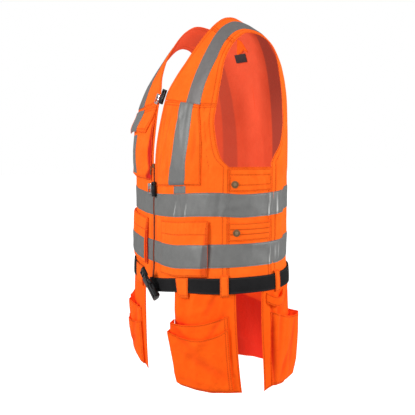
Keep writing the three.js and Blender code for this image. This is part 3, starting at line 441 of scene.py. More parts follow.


# Vest and holster cloth. A hollow is painted in its own deep shade colour, and so are other marked places.
# The glow is emission, partly the cloth's fluorescence and partly painted light, and cloth marked lit glows
# through more.
def clothMaterial(name, color, shadow, sewn, paintedShading, glow, pitch=0.0009, shine=0.0):
    material, tree, shader = newMaterial(name, rough=0.9, Specular_IOR_Level=0.12, Emission_Strength=glow)
    # painted light: the lit mark raises the glow
    if shine:
        lit = mathNode(tree, "ADD", mathNode(tree, "MULTIPLY", attribute(tree, "lit"), shine), 1.0)
        tree.links.new(mathNode(tree, "MULTIPLY", lit, glow), shader.inputs["Emission Strength"])
    woven, row, soft = wovenNodes(tree, pitch, clothCrumple)
    tint = mixColor(tree, soft["Shade"], color, shadow)
    tint = mixColor(tree, mathNode(tree, "MULTIPLY", woven, 0.2), tint, shadow)
    # painted shade: marked places darken to the deep shade colour
    tint = mixColor(tree, attribute(tree, "paintedShading"), tint, paintedShading)
    # painted shade in the dents of the stitch rows
    tint = mixColor(tree, mathNode(tree, "MULTIPLY", row["Dent"], 0.62), tint, sewn)
    tint = mixColor(tree, row["Thread"], tint, shadow)
    tree.links.new(tint, shader.inputs["Base Color"])
    tree.links.new(tint, shader.inputs["Emission Color"])
    bumpInto(tree, shader, [(soft["Height"], 0.009, 0.5), (woven, 0.0002, 0.35),
                            (row["Dent"], -0.0008, 0.7), (row["Thread"], 0.0004, 0.6)])
    return material


# The deep shade colours and the sewn colours below are painted shade, in hollows and in the dents of
# stitches. Each glow is emission, partly the cloth's fluorescence and partly painted light, most on the
# insides, which it lifts out of shade.
finishes = {
    "vestOut": {"name": "vest orange", "color": (0.86, 0.128, 0.009), "shadow": (0.83, 0.105, 0.006),
                "sewn": (0.26, 0.02, 0.001), "paintedShading": (0.44, 0.007, 0.008), "glow": 0.12},
    "vestIn": {"name": "vest orange inside", "color": (0.47, 0.064, 0.026), "shadow": (0.45, 0.056, 0.022),
               "sewn": (0.3, 0.02, 0.008), "paintedShading": (0.22, 0.042, 0.028), "glow": 0.7, "shine": 0.55},
    "holsterOut": {"name": "holster orange", "color": (0.86, 0.1, 0.003), "shadow": (0.83, 0.082, 0.002),
                   "sewn": (0.26, 0.016, 0.001), "paintedShading": (0.56, 0.01, 0.003), "glow": 0.11,
                   "pitch": 0.0007},
    "holsterIn": {"name": "holster orange inside", "color": (0.92, 0.086, 0.013),
                  "shadow": (0.88, 0.07, 0.01), "sewn": (0.5, 0.02, 0.004),
                  "paintedShading": (0.55, 0.012, 0.008), "glow": 0.32, "pitch": 0.0007},
}
vestOut, vestIn, holsterOut, holsterIn = (clothMaterial(**finish) for finish in finishes.values())


# The tape's bright colour is a painted glint, its red colour a red-tinted painted shade, and its sewn colour
# painted shade in the stitch dents
tapeFinish = {"color": (0.15, 0.151, 0.148), "shadow": (0.168, 0.169, 0.165), "bright": (0.62, 0.62, 0.6),
              "paintedRedShade": (0.1, 0.028, 0.03), "sewn": (0.09, 0.085, 0.08), "thread": (0.2, 0.2, 0.19),
              "pitch": 0.0012, "crumpled": 55.0}
webbingFinish = {"color": (0.004, 0.004, 0.005), "shadow": (0.008, 0.008, 0.009),
                 "high": (0.018, 0.017, 0.017), "thread": (0.03, 0.029, 0.028),
                 "pitch": 0.0022, "crumpled": 35.0}


# Reflective tape: its mark above zero paints a glint, a painted highlight, and below zero a red-tinted
# painted shade
def tapeMaterial(color, shadow, bright, paintedRedShade, sewn, thread, pitch, crumpled):
    material, tree, shader = newMaterial("reflective tape", rough=0.5, metal=0.2, Specular_IOR_Level=0.25)
    woven, row, soft = wovenNodes(tree, pitch, crumpled)
    mark = attribute(tree, "paintedShading")
    tint = mixColor(tree, soft["Shade"], color, shadow)
    # painted highlight along the tape's sharp creases
    tint = mixColor(tree, mathNode(tree, "MULTIPLY", mark, 1.0, clamp=True), tint, bright)
    # painted shade with a red tint
    tint = mixColor(tree, mathNode(tree, "MULTIPLY", mark, -1.0, clamp=True), tint, paintedRedShade)
    # painted shade in the dents of the stitch rows
    tint = mixColor(tree, mathNode(tree, "MULTIPLY", row["Dent"], 0.5), tint, sewn)
    tint = mixColor(tree, row["Thread"], tint, thread)
    tree.links.new(tint, shader.inputs["Base Color"])
    bumpInto(tree, shader, [(soft["Height"], 0.003, 0.2), (woven, 0.00015, 0.3), (row["Dent"], -0.0005, 0.6)])
    return material


def webbingMaterial(color, shadow, high, thread, pitch, crumpled):
    material, tree, shader = newMaterial("black webbing", rough=0.8, Specular_IOR_Level=0.12)
    woven, row, soft = wovenNodes(tree, pitch, crumpled)
    tint = mixColor(tree, soft["Shade"], color, shadow)
    tint = mixColor(tree, mathNode(tree, "MULTIPLY", woven, 0.5), tint, high)
    tint = mixColor(tree, row["Thread"], tint, thread)
    tree.links.new(tint, shader.inputs["Base Color"])
    bumpInto(tree, shader, [(woven, 0.0005, 0.6), (row["Dent"], -0.0004, 0.5)])
    return material


# Plastic and metal: the crumple at a fine scale mottles its colour and its gloss
def hardMaterial(name, color, other, rough, metal, grain, scale=900.0, **sockets):
    material, tree, shader = newMaterial(name, rough=rough, metal=metal, **sockets)
    place = nodeIn(tree, "ShaderNodeTexCoord").outputs["Object"]
    soft = useGroup(tree, crumple, place, Scale=scale).outputs
    tree.links.new(mixColor(tree, soft["Shade"], color, other), shader.inputs["Base Color"])
    gloss = rangeNode(tree, soft["Shade"], 0, 1, rough * 0.85, min(rough * 1.2, 1))
    tree.links.new(gloss, shader.inputs["Roughness"])
    bumpInto(tree, shader, [(soft["Height"], 0.0002, grain)])
    return material


hardFinishes = {
    "plastic": {"name": "black plastic", "color": (0.004, 0.004, 0.005), "other": (0.007, 0.007, 0.008),
                "rough": 0.3, "metal": 0, "grain": 0.2, "Specular_IOR_Level": 0.28},
    "chrome": {"name": "bright metal", "color": (0.8, 0.8, 0.82), "other": (0.68, 0.68, 0.71),
               "rough": 0.18, "metal": 0.95, "grain": 0.05, "scale": 300.0},
    "dull": {"name": "dull metal", "color": (0.24, 0.135, 0.06), "other": (0.19, 0.105, 0.045),
             "rough": 0.42, "metal": 0.6, "grain": 0.1, "scale": 500.0},
    "paler": {"name": "worn metal", "color": (0.33, 0.23, 0.14), "other": (0.27, 0.19, 0.115),
             "rough": 0.4, "metal": 0.6, "grain": 0.1, "scale": 500.0},
    "zipCloth": {"name": "zip tape", "color": (0.3, 0.035, 0.01), "other": (0.22, 0.025, 0.008),
                 "rough": 0.8, "metal": 0, "grain": 0.3},
    "tabCloth": {"name": "tab cloth", "color": (0.016, 0.016, 0.018), "other": (0.028, 0.028, 0.03),
                 "rough": 0.75, "metal": 0, "grain": 0.4},
    "zipTeeth": {"name": "zip teeth", "color": (0.24, 0.045, 0.02), "other": (0.17, 0.032, 0.015),
                 "rough": 0.5, "metal": 0, "grain": 0.1},
}
tape, webbing = tapeMaterial(**tapeFinish), webbingMaterial(**webbingFinish)
plastic, chrome, dull, paler, zipCloth, tabCloth, zipTeeth = (
    hardMaterial(**finish) for finish in hardFinishes.values())
print("materials made")


# Cloth sheets, in millimetres. Stitches and rims sink a little into the cloth.
wallMm = 1.4
layers = {"gap": 0.5, "tape": 0.5}
stitching = {"depth": 0.45, "width": 1.6, "rimDepth": 0.5, "rimWidth": 0.8, "roll": 1.2}
vestCloth = {"wall": wallMm, "finish": (vestOut, vestIn), "slot": "vest_cloth"}
holsterCloth = {"wall": wallMm, "finish": (holsterOut, holsterIn), "slot": "holster_cloth"}
reflectiveTape = {"wall": layers["tape"], "finish": (tape,), "slot": "reflective_tape", "held": "stretched"}


# Distances across a piece: set ones near each edge, even ones between them
def spacing(total, near, far, count):
    room = near[-1] + far[-1]
    share = np.minimum(1, 0.8 * total / max(room, 1e-6))
    low, high = np.array(near) * share, np.array(far) * share
    inner = np.linspace(low[-1], total - high[-1], count + 1)[1:-1]
    return np.concatenate([low, inner, total - high[::-1]])


# The way run along the first axis of a grid of points
def runLength(points):
    steps = np.linalg.norm(np.diff(points, axis=0), axis=-1)
    return np.concatenate([np.zeros((1, *steps.shape[1:])), np.cumsum(steps, axis=0)])


# Lays a grid over a piece: place(s, v) gives angle and rise. Rows of stitches stand at set distances
# from its edges, and a line of the grid runs along each.
def layGrid(place, span, climb, step, left=(), right=(), foot=(), top=()):
    stitched = {"left": left, "right": right, "foot": foot, "top": top}
    edge = {}
    for side, rows in stitched.items():
        lines = sorted(row + off for row in rows for off in ((-2, 0, 2) if row > 5 else (0, 2)))
        edge[side] = [0, stitching["roll"], *lines]
    fine = np.linspace(*climb, 160)
    middle = sum(span) / 2
    path = bodyPoint(*place(np.full(160, middle), fine))
    ran = runLength(path)
    count = max(math.ceil(ran[-1] / step), 4)
    downs = spacing(ran[-1], edge["foot"], edge["top"], count)
    levels = np.interp(downs, ran, fine)
    across = np.linspace(*span, 120)
    s, v = np.meshgrid(across, levels)
    ran = runLength(bodyPoint(*place(s, v)).transpose(1, 0, 2)).T
    count = max(math.ceil(ran[:, -1].mean() / step), 4)
    fromLeft = np.array([spacing(row[-1], edge["left"], edge["right"], count) for row in ran])
    shares = np.array([np.interp(off, row, across) for off, row in zip(fromLeft, ran)])
    fromFoot = np.repeat(downs[:, None], shares.shape[1], axis=1)
    away = {"left": fromLeft, "right": ran[:, -1:] - fromLeft, "foot": fromFoot, "top": downs[-1] - fromFoot}
    near = np.full(shares.shape, 40.0)
    along = np.zeros(shares.shape)
    for side, rows in stitched.items():
        for row in rows:
            off = np.abs(away[side] - row)
            along = np.where(off < near, fromFoot if side in ("left", "right") else fromLeft, along)
            near = np.minimum(near, off)
    return {"s": shares, "v": np.repeat(levels[:, None], shares.shape[1], axis=1), "sides": away,
            "near": near, "along": along, "dip": dipAt(near, np.minimum.reduce(list(away.values())))}


# How far the cloth sinks, by its distance from a seam and from a rim
def dipAt(near, rim):
    seam = -stitching["depth"] * np.exp(-((near / stitching["width"]) ** 2))
    return seam - stitching["rimDepth"] * np.exp(-((rim / stitching["rimWidth"]) ** 2))


# Adds a seam to a grid, from each point's distance to it and the way along it
def seamOn(grid, away, along, deep=0.7):
    closer = away < grid["near"]
    grid["along"] = np.where(closer, along, grid["along"])
    grid["near"] = np.minimum(grid["near"], away)
    grid["dip"] = grid["dip"] - deep * np.exp(-((away / stitching["width"]) ** 2))


# The two maps that the woven finishes read, in metres: the flat cloth and its seams
def lineUp(piece, grid, points):
    flat = np.stack([runLength(points.transpose(1, 0, 2)).T, runLength(points)], -1)
    maps = {"flat": flat * 0.001, "seam": np.stack([grid["near"], grid["along"]], -1) * 0.001}
    count = len(piece.data.loops)
    corner = np.empty(count, int)
    piece.data.loops.foreach_get("vertex_index", corner)
    for layer in list(piece.data.uv_layers):
        piece.data.uv_layers.remove(layer)
    for name, values in maps.items():
        layer = piece.data.uv_layers.new(name=name)
        layer.data.foreach_set("uv", values.reshape(-1, 2)[corner].reshape(-1).astype(np.float32))


def solidify(piece, wall, inside):
    modifier = piece.modifiers.new("wall", "SOLIDIFY")
    modifier.thickness = wall * 0.001
    modifier.offset = -1
    modifier.use_even_offset = True
    modifier.use_quality_normals = True
    if inside:
        modifier.material_offset = 1
        modifier.material_offset_rim = 0
    bpy.context.view_layer.objects.active = piece
    bpy.ops.object.modifier_apply(modifier=modifier.name)


# One part of a sheet, from its grid
def gridPart(grid, points):
    rows, columns = points.shape[:2]
    bpy.ops.object.select_all(action="DESELECT")
    bpy.ops.mesh.primitive_grid_add(x_subdivisions=columns - 1, y_subdivisions=rows - 1, size=1)
    part = bpy.context.object
    part.data.vertices.foreach_set("co", (points * 0.001).reshape(-1).astype(np.float32))
    lineUp(part, grid, points)
    for key in ("paintedShading", "lit"):
        mark = part.data.attributes.new(key, "FLOAT", "POINT")
        values = np.broadcast_to(grid.get(key, 0.0), (rows, columns))
        mark.data.foreach_set("value", values.reshape(-1).astype(np.float32))
    middle = points[rows // 2, columns // 2]
    side = points[rows // 2, columns // 2 + 1] - middle
    up = points[rows // 2 + 1, columns // 2] - middle
    if np.dot(np.cross(side, up), grid["out"][rows // 2, columns // 2]) < 0:
        part.data.flip_normals()
    return part


def joined(pieces):
    bpy.ops.object.select_all(action="DESELECT")
    for piece in pieces:
        piece.select_set(True)
    bpy.context.view_layer.objects.active = pieces[0]
    if len(pieces) > 1:
        bpy.ops.object.join()
    return pieces[0]


# One sheet of cloth: the points of each part are its outer face, in millimetres
def sheetPiece(name, node, parts, wall, finish, slot, held="hung", restsOn=()):
    piece = joined([gridPart(grid, points) for grid, points in parts])
    if len(parts) > 1:
        bpy.ops.object.mode_set(mode="EDIT")
        bpy.ops.mesh.select_all(action="SELECT")
        bpy.ops.mesh.remove_doubles(threshold=0.00002)
        bpy.ops.object.mode_set(mode="OBJECT")
    piece.name = name
    for material in finish:
        piece.data.materials.append(material)
    solidify(piece, wall, inside=len(finish) > 1)
    bpy.ops.object.shade_smooth_by_angle(angle=math.radians(50))
    laid = [points for grid, points in parts]
    width = sum(runLength(points.transpose(1, 0, 2))[-1].max() for points in laid) * 0.001
    if node:
        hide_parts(node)
    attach(piece, "root")


# The points of a grid, each at its own lift off the body
def offBody(grid, angle, rise, lift):
    grid["out"] = outward(angle, rise)
    return bodyPoint(angle, rise) + grid["out"] * lift[..., None]


# The same for a sheet that follows the creases of the cloth under it
def bodyPoints(grid, place, lift=0.0):
    angle, rise = place(grid["s"], grid["v"])
    return offBody(grid, angle, rise, lift + grid["dip"] + creaseAt(angle, rise))


sides = (("left", 1), ("right", -1))
bands = {"upper": 367, "lower": 475, "width": 50}
bandLift = layers["gap"] + layers["tape"]


# The share across a panel as an angle: the shoulder tape's edges lie at 0.4 and 0.6
def panelAngle(s, inner, tapeIn, tapeOut, outer):
    low = inner + (tapeIn - inner) * s / 0.4
    middle = tapeIn + (tapeOut - tapeIn) * (s - 0.4) / 0.2
    high = tapeOut + (outer - tapeOut) * (s - 0.6) / 0.4
    return np.where(s < 0.4, low, np.where(s < 0.6, middle, high))


sideSeamX = bodyPoint(seams["side"], 0)[0]
backSeamX = bodyPoint(seams["back"], 0)[0]


# How far out the armhole's edge is, from its foot on a seam to the shoulder
def armX(seamX, rows, climb):
    shoulder = form["shoulderHalfWidth"]
    return shoulder + (seamX - shoulder) * readRows(rows, "rise", "out", climb)


# The angles of the shoulder tape's two edges
def tapeEdges(rows, rise, back=False):
    return [angleOf(readRows(rows, "rise", key, rise) * form["halfWidth"], rise, back)
            for key in ("tapeIn", "tapeOut")]


def frontAngle(s, rise):
    climb = np.maximum(rise, 0)
    edge = readRows(neckRows, "rise", "out", climb) * form["neckHalfWidth"]
    outer = np.where(rise > 0, angleOf(armX(sideSeamX, armFrontRows, climb), rise), seams["side"])
    return panelAngle(s, angleOf(edge, rise), *tapeEdges(frontLineRows, rise), outer)


def frontPlace(side):
    def place(s, v):
        rise = v + seams["tilt"] * (s - 0.35) * smooth(v / 0.2) * smooth((seams["shoulder"] - v) / 0.3)
        return side * frontAngle(s, rise), rise
    return place


def backPlace(side):
    def place(s, v):
        rise = np.minimum(v, 1)
        climb = np.maximum(rise, 0)
        edge = np.where(rise > seams["neckBack"], readRows(neckBackRows, "rise", "out", rise), 0)
        edge = edge * form["neckHalfWidth"]
        inner = np.where(edge > 0, angleOf(np.maximum(edge, 1e-6), rise, True), 180)
        outer = np.where(rise > 0, angleOf(armX(backSeamX, armBackRows, climb), rise, True), seams["back"])
        behind = panelAngle(s, inner, *tapeEdges(backLineRows, rise, True), outer)
        over = frontAngle(s, np.minimum(2 - v, 1))
        return side * np.where(v > 1, over, behind), np.where(v > 1, 2 - v, rise)
    return place


def underPlace(side):
    return lambda angle, v: (side * angle, v)


# The seven panels of the vest, a hair apart at their seams
apart = {"across": 0.0005, "rise": 0.0002, "angle": 0.02}
# A row of stitches comes down each front and ends at the upper band
longSeam = {"at": 0.715, "width": 215, "below": 30}
for name, side in sides:
    place = frontPlace(side)
    grid = layGrid(place, (0, 1 - apart["across"]), (-1, seams["yoke"] - apart["rise"]), 3.4,
                   left=(2, 9), right=(2, 12), foot=(2,), top=(2, 7))
    long = np.abs(grid["s"] - longSeam["at"]) * longSeam["width"]
    seamOn(grid, long + longSeam["below"] * (grid["v"] < riseOf(bands["upper"])), grid["sides"]["foot"])
    sheetPiece("cloth_front_" + name, "front_" + name, [(grid, bodyPoints(grid, place))],
               restsOn=("yoke_" + name,), **vestCloth)
    grid = layGrid(place, (0, 1), (seams["yoke"] + apart["rise"], seams["shoulder"] - apart["rise"]), 3.6,
                   left=(2, 9), right=(2, 12), foot=(2,), top=(2,))
    sheetPiece("cloth_yoke_" + name, "yoke_" + name, [(grid, bodyPoints(grid, place))],
               restsOn=("back_panel",), **vestCloth)
    place = underPlace(side)
    grid = layGrid(place, (seams["side"] + apart["angle"], seams["back"] - apart["angle"]), (-1, 0), 2.8,
                   left=(2,), right=(2, 7), foot=(2,), top=(2, 12))
    sheetPiece("cloth_side_" + name, "side_" + name, [(grid, bodyPoints(grid, place))],
               restsOn=("front_" + name, "back_panel"), **vestCloth)

# The back is made in two halves. Inside, the strip behind its tape is painted with shade, and its far half
# and its lower part are painted with light.
strip = {"half": 0.115, "edge": 0.03, "left": 0.85, "right": 0.5, "top": 1.05, "fade": 0.3}
litInside = {"from": 5, "over": 17, "most": 0.85, "top": 0.34, "fade": 0.24}
halves = []
for name, side in sides:
    place = backPlace(side)
    grid = layGrid(place, (0, 1 - apart["across"]), (-1, 2 - seams["shoulder"] - apart["rise"]), 3.4,
                   left=(2, 9), right=(2, 12), foot=(2,), top=(2, 7))
    rest = np.minimum.reduce([np.abs(grid["sides"][edge] - off) for edge, off in
                              (("right", 2), ("right", 12), ("foot", 2), ("top", 2), ("top", 7))])
    neck = smooth((grid["v"] - seams["neckBack"]) / 0.01)
    grid["near"] = np.where(neck > 0.5, grid["near"], rest)
    grid["dip"] = dipAt(grid["near"], grid["sides"]["right"])
    # painted shade where the tape shows through the cloth
    shade = smooth((strip["half"] - np.abs(grid["s"] - 0.5)) / strip["edge"])
    fade = smooth((strip["top"] - grid["v"]) / strip["fade"]) * strip[name]
    grid["paintedShading"] = shade * (grid["v"] > riseOf(bands["upper"])) * fade
    # painted light on the far half and the lower part of the inside
    fromMiddle = np.abs(place(grid["s"], grid["v"])[0] % 360 - 180)
    far = smooth((fromMiddle - litInside["from"]) / litInside["over"]) * (side < 0)
    low = smooth((litInside["top"] - grid["v"]) / litInside["fade"])
    grid["lit"] = np.maximum(litInside["most"] * far, low)
    halves.append((grid, bodyPoints(grid, place)))
sheetPiece("cloth_back", "back_panel", halves, restsOn=("yoke_left", "yoke_right"), **vestCloth)
print("panels sewn")


# Reflective bands round the body, and tapes over the shoulders
bandFirst = 4  # the bands start this many millimetres from the middle of the front
skirtDegree = 3.9  # millimetres round the vest in a degree
tapeRows = {"foot": (2,), "top": (2,)}
tapeSink = {"rows": 0.4, "seam": 0.6}  # rows of stitches sink less into tape than into cloth


def bandPlace(first, last, side):
    return lambda t, v: (side * ((1 - t) * (angleOf(bandFirst, v) if first is None else first) + t * last), v)


def bandRows(band):
    return riseOf(bands[band] + bands["width"]), riseOf(bands[band])


for band in ("upper", "lower"):
    for name, side in sides:
        place = bandPlace(None, seams["back"] - apart["angle"], side)
        grid = layGrid(place, (0, 1), bandRows(band), 2.6, **tapeRows)
        angle = np.abs(place(grid["s"], grid["v"])[0])
        grid["dip"] = grid["dip"] * tapeSink["rows"]
        seamOn(grid, np.abs(angle - seams["side"]) * skirtDegree, grid["sides"]["foot"], tapeSink["seam"])
        # painted glints, highlights along the tape's sharp creases
        grid["paintedShading"] = glintAt(side * angle, grid["v"])
        sheetPiece(f"tape_{band}_{name}", f"band_{band}_{name}", [(grid, bodyPoints(grid, place, bandLift))],
                   restsOn=("front_" + name, "side_" + name), **reflectiveTape)
    place = bandPlace(seams["back"] + apart["angle"], 360 - seams["back"] - apart["angle"], 1)
    grid = layGrid(place, (0, 1), bandRows(band), 3.2, **tapeRows)
    grid["dip"] = grid["dip"] * tapeSink["rows"]
    # painted glints, highlights along the tape's sharp creases
    grid["paintedShading"] = glintAt(place(grid["s"], grid["v"])[0], grid["v"])
    sheetPiece(f"tape_{band}_back", f"band_{band}_back", [(grid, bodyPoints(grid, place, bandLift))],
               restsOn=("back_panel",), **reflectiveTape)


def strapPlace(side):
    front, back = frontPlace(side), backPlace(side)
    turnAt = 2 - seams["shoulder"]

    def place(s, v):
        over = front(s, 2 - v)
        behind = back(s, v)
        return np.where(v > turnAt, over[0], behind[0]), np.where(v > turnAt, over[1], behind[1])
    return place


strapPaintedShade = 0.14  # how much red-tinted painted shade darkens the tape over a shoulder
strapRows = (riseOf(bands["upper"] - layers["gap"]), 2 - seams["yoke"] - apart["rise"])
for name, side in sides:
    place = strapPlace(side)
    grid = layGrid(place, (0.4, 0.6), strapRows, 3.6, left=(2,), right=(2,))
    # painted shade over the whole tape on a shoulder
    grid["paintedShading"] = np.full(grid["s"].shape, -strapPaintedShade)
    sheetPiece("tape_over_shoulder_" + name, "tape_shoulder_" + name,
               [(grid, bodyPoints(grid, place, bandLift))],
               restsOn=("yoke_" + name, "back_panel"), **reflectiveTape)
print("tapes sewn")

# Pockets: each stands off by "proud" and "base", shared out across the front and down its length.
# Its standing edge is the "wall", painted with shade, which leans and waves by "sway" and turns in by
# "round".
overPanel = 2.2 * layers["gap"]
pockets = {
    "chest_left": {
        "side": 1, "node": "chest_pocket_left", "span": (0.05, 0.6), "foot": riseOf(352),
        "top": seams["yoke"] - 0.0008, "proud": 7, "base": overPanel, "wall": (2, 3), "sway": (0, 0),
        "across": ([0.05, 0.2, 0.31, 0.4, 0.49, 0.6], [0, 0.6, 1, 1, 0.8, 0]),
        "down": ([0, 0.03, 0.3, 0.75, 0.95, 1], [0.15, 0.25, 0.8, 1, 0.7, 0]),
    },
    "chest_right": {
        "side": -1, "node": "chest_pocket_right", "span": (0.018, 0.6), "foot": riseOf(344),
        "top": 0.285, "proud": 16, "base": overPanel, "wall": (0.05, 0.038), "sway": (0, 0.009),
        "round": 0.07,
        "across": ([0.03, 0.044, 0.14, 0.33, 0.4, 0.49, 0.575, 0.6], [0, 0.42, 0.62, 0.6, 0.5, 0.35, 0.2, 0]),
        "down": ([0, 0.2, 0.5, 0.92, 1], [0.1, 0.7, 1, 0.85, 0]),
    },
    "lower_left": {
        "side": 1, "node": "lower_pocket_left", "span": (0.12, 0.72), "foot": riseOf(544),
        "top": riseOf(426), "proud": 15, "base": 2.0, "wall": (0.65, 0.664), "sway": (0.04, 0), "shade": 0.3,
        "across": ([0.12, 0.16, 0.267, 0.4, 0.6, 0.655, 0.715], [0, 0.15, 0.25, 0.45, 0.85, 1, 0]),
        "down": ([0, 0.15, 0.5, 0.85, 1], [0.25, 0.5, 0.85, 0.95, 0.5]),
    },
    "lower_right": {
        "side": -1, "node": "lower_pocket_right", "span": (0.082, 0.72), "foot": riseOf(536),
        "top": riseOf(426), "proud": 15, "base": 2.0, "wall": (0.106, 0.1), "sway": (0, 0),
        "across": ([0.086, 0.1, 0.267, 0.4, 0.6, 0.66, 0.72], [0, 0.45, 0.4, 0.35, 0.35, 0.4, 0]),
        "down": ([0, 0.15, 0.85, 1], [0.4, 0.7, 1, 0.6]),
    },
}
pocketBlur = np.linspace(-0.012, 0.012, 7)  # the edges of the shares are rounded over this width
pocketTape = {
    "rise": [-0.14, -0.08, 0.05, 0.18, 0.325],
    "tapeIn": [0.262, 0.285, 0.335, 0.345, 0.325],
    "tapeOut": [0.47, 0.485, 0.492, 0.507, 0.525],
}
pleats = {"wave": 0.62, "depth": 1.1, "from": 40, "fade": 26}  # gathers under a lower pocket's hem
# Creases run down the near chest pocket: across and down at each end, width and depth
chestCreases = [
    (0.07, 0.0, 0.13, 0.42, 0.012, 1.5), (0.14, 0.02, 0.15, 0.6, 0.013, -1.3),
    (0.2, 0.02, 0.19, 0.5, 0.014, 1.4), (0.26, 0.05, 0.22, 0.7, 0.013, -1.2),
    (0.13, 0.4, 0.08, 0.95, 0.014, 1.4), (0.27, 0.45, 0.25, 0.95, 0.014, 1.2),
    (0.2, 0.55, 0.15, 1.0, 0.013, -1.2), (0.56, 0.1, 0.54, 0.7, 0.015, 1.0),
]
chestCrease = {"deep": 1.7, "shade": 0.15}


# The share of the way down a pocket or a flap
def downOf(pocket, v):
    return (pocket["top"] - v) / (pocket["top"] - pocket["foot"])


# How far the standing edge of a pocket wanders across, down its length
def pocketWave(pocket, share):
    lean, wave = pocket["sway"]
    wander = lean * (1 - share) + wave * np.sin(share * 11 + 2.2)
    return wander + pocket.get("round", 0) * smooth((share - 0.8) / 0.2)


def pocketLift(pocket, s, v):
    share = downOf(pocket, v)
    s = s - pocketWave(pocket, share)
    full = sum(np.interp(s + step, *pocket["across"]) for step in pocketBlur) / len(pocketBlur)
    return pocket["base"] + pocket["proud"] * full * np.interp(share, *pocket["down"]) + wallMm


# The standing side of a pocket is painted with red shade
def pocketShade(pocket, s, v):
    share = downOf(pocket, v)
    start, end = pocket["wall"]
    beyond = smooth((s - pocketWave(pocket, share) - start) / (end - start))
    return pocket.get("shade", 0.95) * beyond * smooth(share / 0.3)


def creaseDepth(s, share):
    depth = 0
    for left, top, right, foot, width, deep in chestCreases:
        along = np.clip((share - top) / (foot - top), 0, 1)
        off = (s - left - (right - left) * along) / width
        depth = depth + deep * np.sin(math.pi * along) * np.exp(-(off ** 2))
    return depth


for name, pocket in pockets.items():
    place = frontPlace(pocket["side"])
    hem = (2, 30) if "lower" in name else (2, 8)
    grid = layGrid(place, pocket["span"], (pocket["foot"], pocket["top"]), 3,
                   left=(2,), right=(2,), foot=(2,), top=hem)
    lift = pocketLift(pocket, grid["s"], grid["v"])
    if "lower" in name:
        across, under = grid["sides"]["left"], grid["sides"]["top"]
        gathers = np.sin(across * pleats["wave"] + 0.8 * np.sin(across * 0.11))
        faded = smooth((pleats["from"] - under) / pleats["fade"])
        lift = lift + pleats["depth"] * gathers * faded * smooth(under / 5)
    # painted red shade on the pocket's standing side
    grid["paintedShading"] = pocketShade(pocket, grid["s"], grid["v"])
    if name == "chest_left":
        sunk = creaseDepth(grid["s"], downOf(pocket, grid["v"]))
        lift = lift - chestCrease["deep"] * sunk
        # painted shade in the sunken creases
        grid["paintedShading"] = grid["paintedShading"] + chestCrease["shade"] * np.maximum(sunk, 0)
    sheetPiece("pocket_" + name, pocket["node"], [(grid, bodyPoints(grid, place, lift))],
               restsOn=("front_left" if pocket["side"] > 0 else "front_right",), **vestCloth)


# The way across a front where its pocket tape lies, with t from its inner edge to its outer
def tapeAcross(t, v):
    inner, outer = (readRows(pocketTape, "rise", key, v) for key in ("tapeIn", "tapeOut"))
    return inner * (1 - t) + outer * t


for name, low, high in (("left", 0.985, 0.0), ("right", 0.9, 0.27)):
    pocket = pockets["chest_" + name]
    front = frontPlace(pocket["side"])
    reach = [pocket["top"] + (pocket["foot"] - pocket["top"]) * share for share in (low, high)]

    def tapePlace(t, v):
        return front(tapeAcross(t, v), v)

    grid = layGrid(tapePlace, (0, 1), reach, 3, left=(2,), right=(2,))
    lift = pocketLift(pocket, tapeAcross(grid["s"], grid["v"]), grid["v"]) + bandLift
    sheetPiece("tape_chest_" + name, "tape_pocket_" + name, [(grid, bodyPoints(grid, tapePlace, lift))],
               restsOn=("chest_pocket_" + name,), **reflectiveTape)

# The stub of the left tape between its pocket and the upper band
place = frontPlace(1)
stubRows = (riseOf(bands["upper"] - layers["gap"]), pockets["chest_left"]["foot"] - 0.002)
stub = layGrid(place, (0.33, 0.47), stubRows, 3, left=(2,), right=(2,))
sheetPiece("tape_under_pocket_left", "tape_stub_left", [(stub, bodyPoints(stub, place, bandLift))],
           restsOn=("front_left",), **reflectiveTape)

# The flap over the bag pocket, its inner corner cut off
flap = {
    "top": seams["yoke"] - 0.02, "foot": 0.198, "span": (0.02, 0.66), "proud": 12, "over": 0.15,
    "edge": ([0.02, 0.06, 0.66], [0.75, 1, 1]),
    "across": ([0.02, 0.2, 0.33, 0.66], [0.09, 0.05, 0, 0]),
    "droop": ([0.02, 0.25, 0.45, 0.66], [0.014, 0.008, 0, 0]),
}
flapRows = (flap["foot"], flap["top"])


def flapPlace(s, v):
    down = np.clip(downOf(flap, v), 0, 1)
    across = s + np.interp(s, *flap["across"]) * down ** 2.6
    return frontPlace(-1)(across, v - np.interp(s, *flap["droop"]) * down)


def flapTapePlace(t, v):
    return flapPlace(tapeAcross(t, v), v)


def flapLift(s, v):
    down = np.minimum(smooth(downOf(flap, v)) * 1.1, 1)
    return overPanel + flap["over"] + flap["proud"] * down * np.interp(s, *flap["edge"]) + wallMm


grid = layGrid(flapPlace, flap["span"], flapRows, 3, left=(2, 7), right=(2, 7), foot=(2, 7), top=(2, 7))
points = bodyPoints(grid, flapPlace, flapLift(grid["s"], grid["v"]))
sheetPiece("flap_chest_right", "chest_flap_right", [(grid, points)], restsOn=("front_right",), **vestCloth)
grid = layGrid(flapTapePlace, (0, 1), flapRows, 3, left=(2,), right=(2,))
points = bodyPoints(grid, flapTapePlace, flapLift(0.4, grid["v"]) + bandLift)
sheetPiece("tape_on_flap_right", "tape_flap_right", [(grid, points)],
           restsOn=("chest_flap_right",), **reflectiveTape)

for name, reach in (("left", (0.12, 0.7195)), ("right", (0.108, 0.66))):
    pocket = pockets["lower_" + name]
    place = frontPlace(pocket["side"])
    grid = layGrid(place, reach, bandRows("lower"), 2.4, **tapeRows)
    lift = pocketLift(pocket, grid["s"], grid["v"]) + bandLift
    # red-tinted painted shade on the tape beside the pocket's standing side
    grid["paintedShading"] = -pocketShade(pocket, grid["s"], grid["v"])
    sheetPiece("tape_lower_pocket_" + name, "band_pocket_" + name, [(grid, bodyPoints(grid, place, lift))],
               restsOn=("lower_pocket_" + name,), **reflectiveTape)
print("pockets sewn")

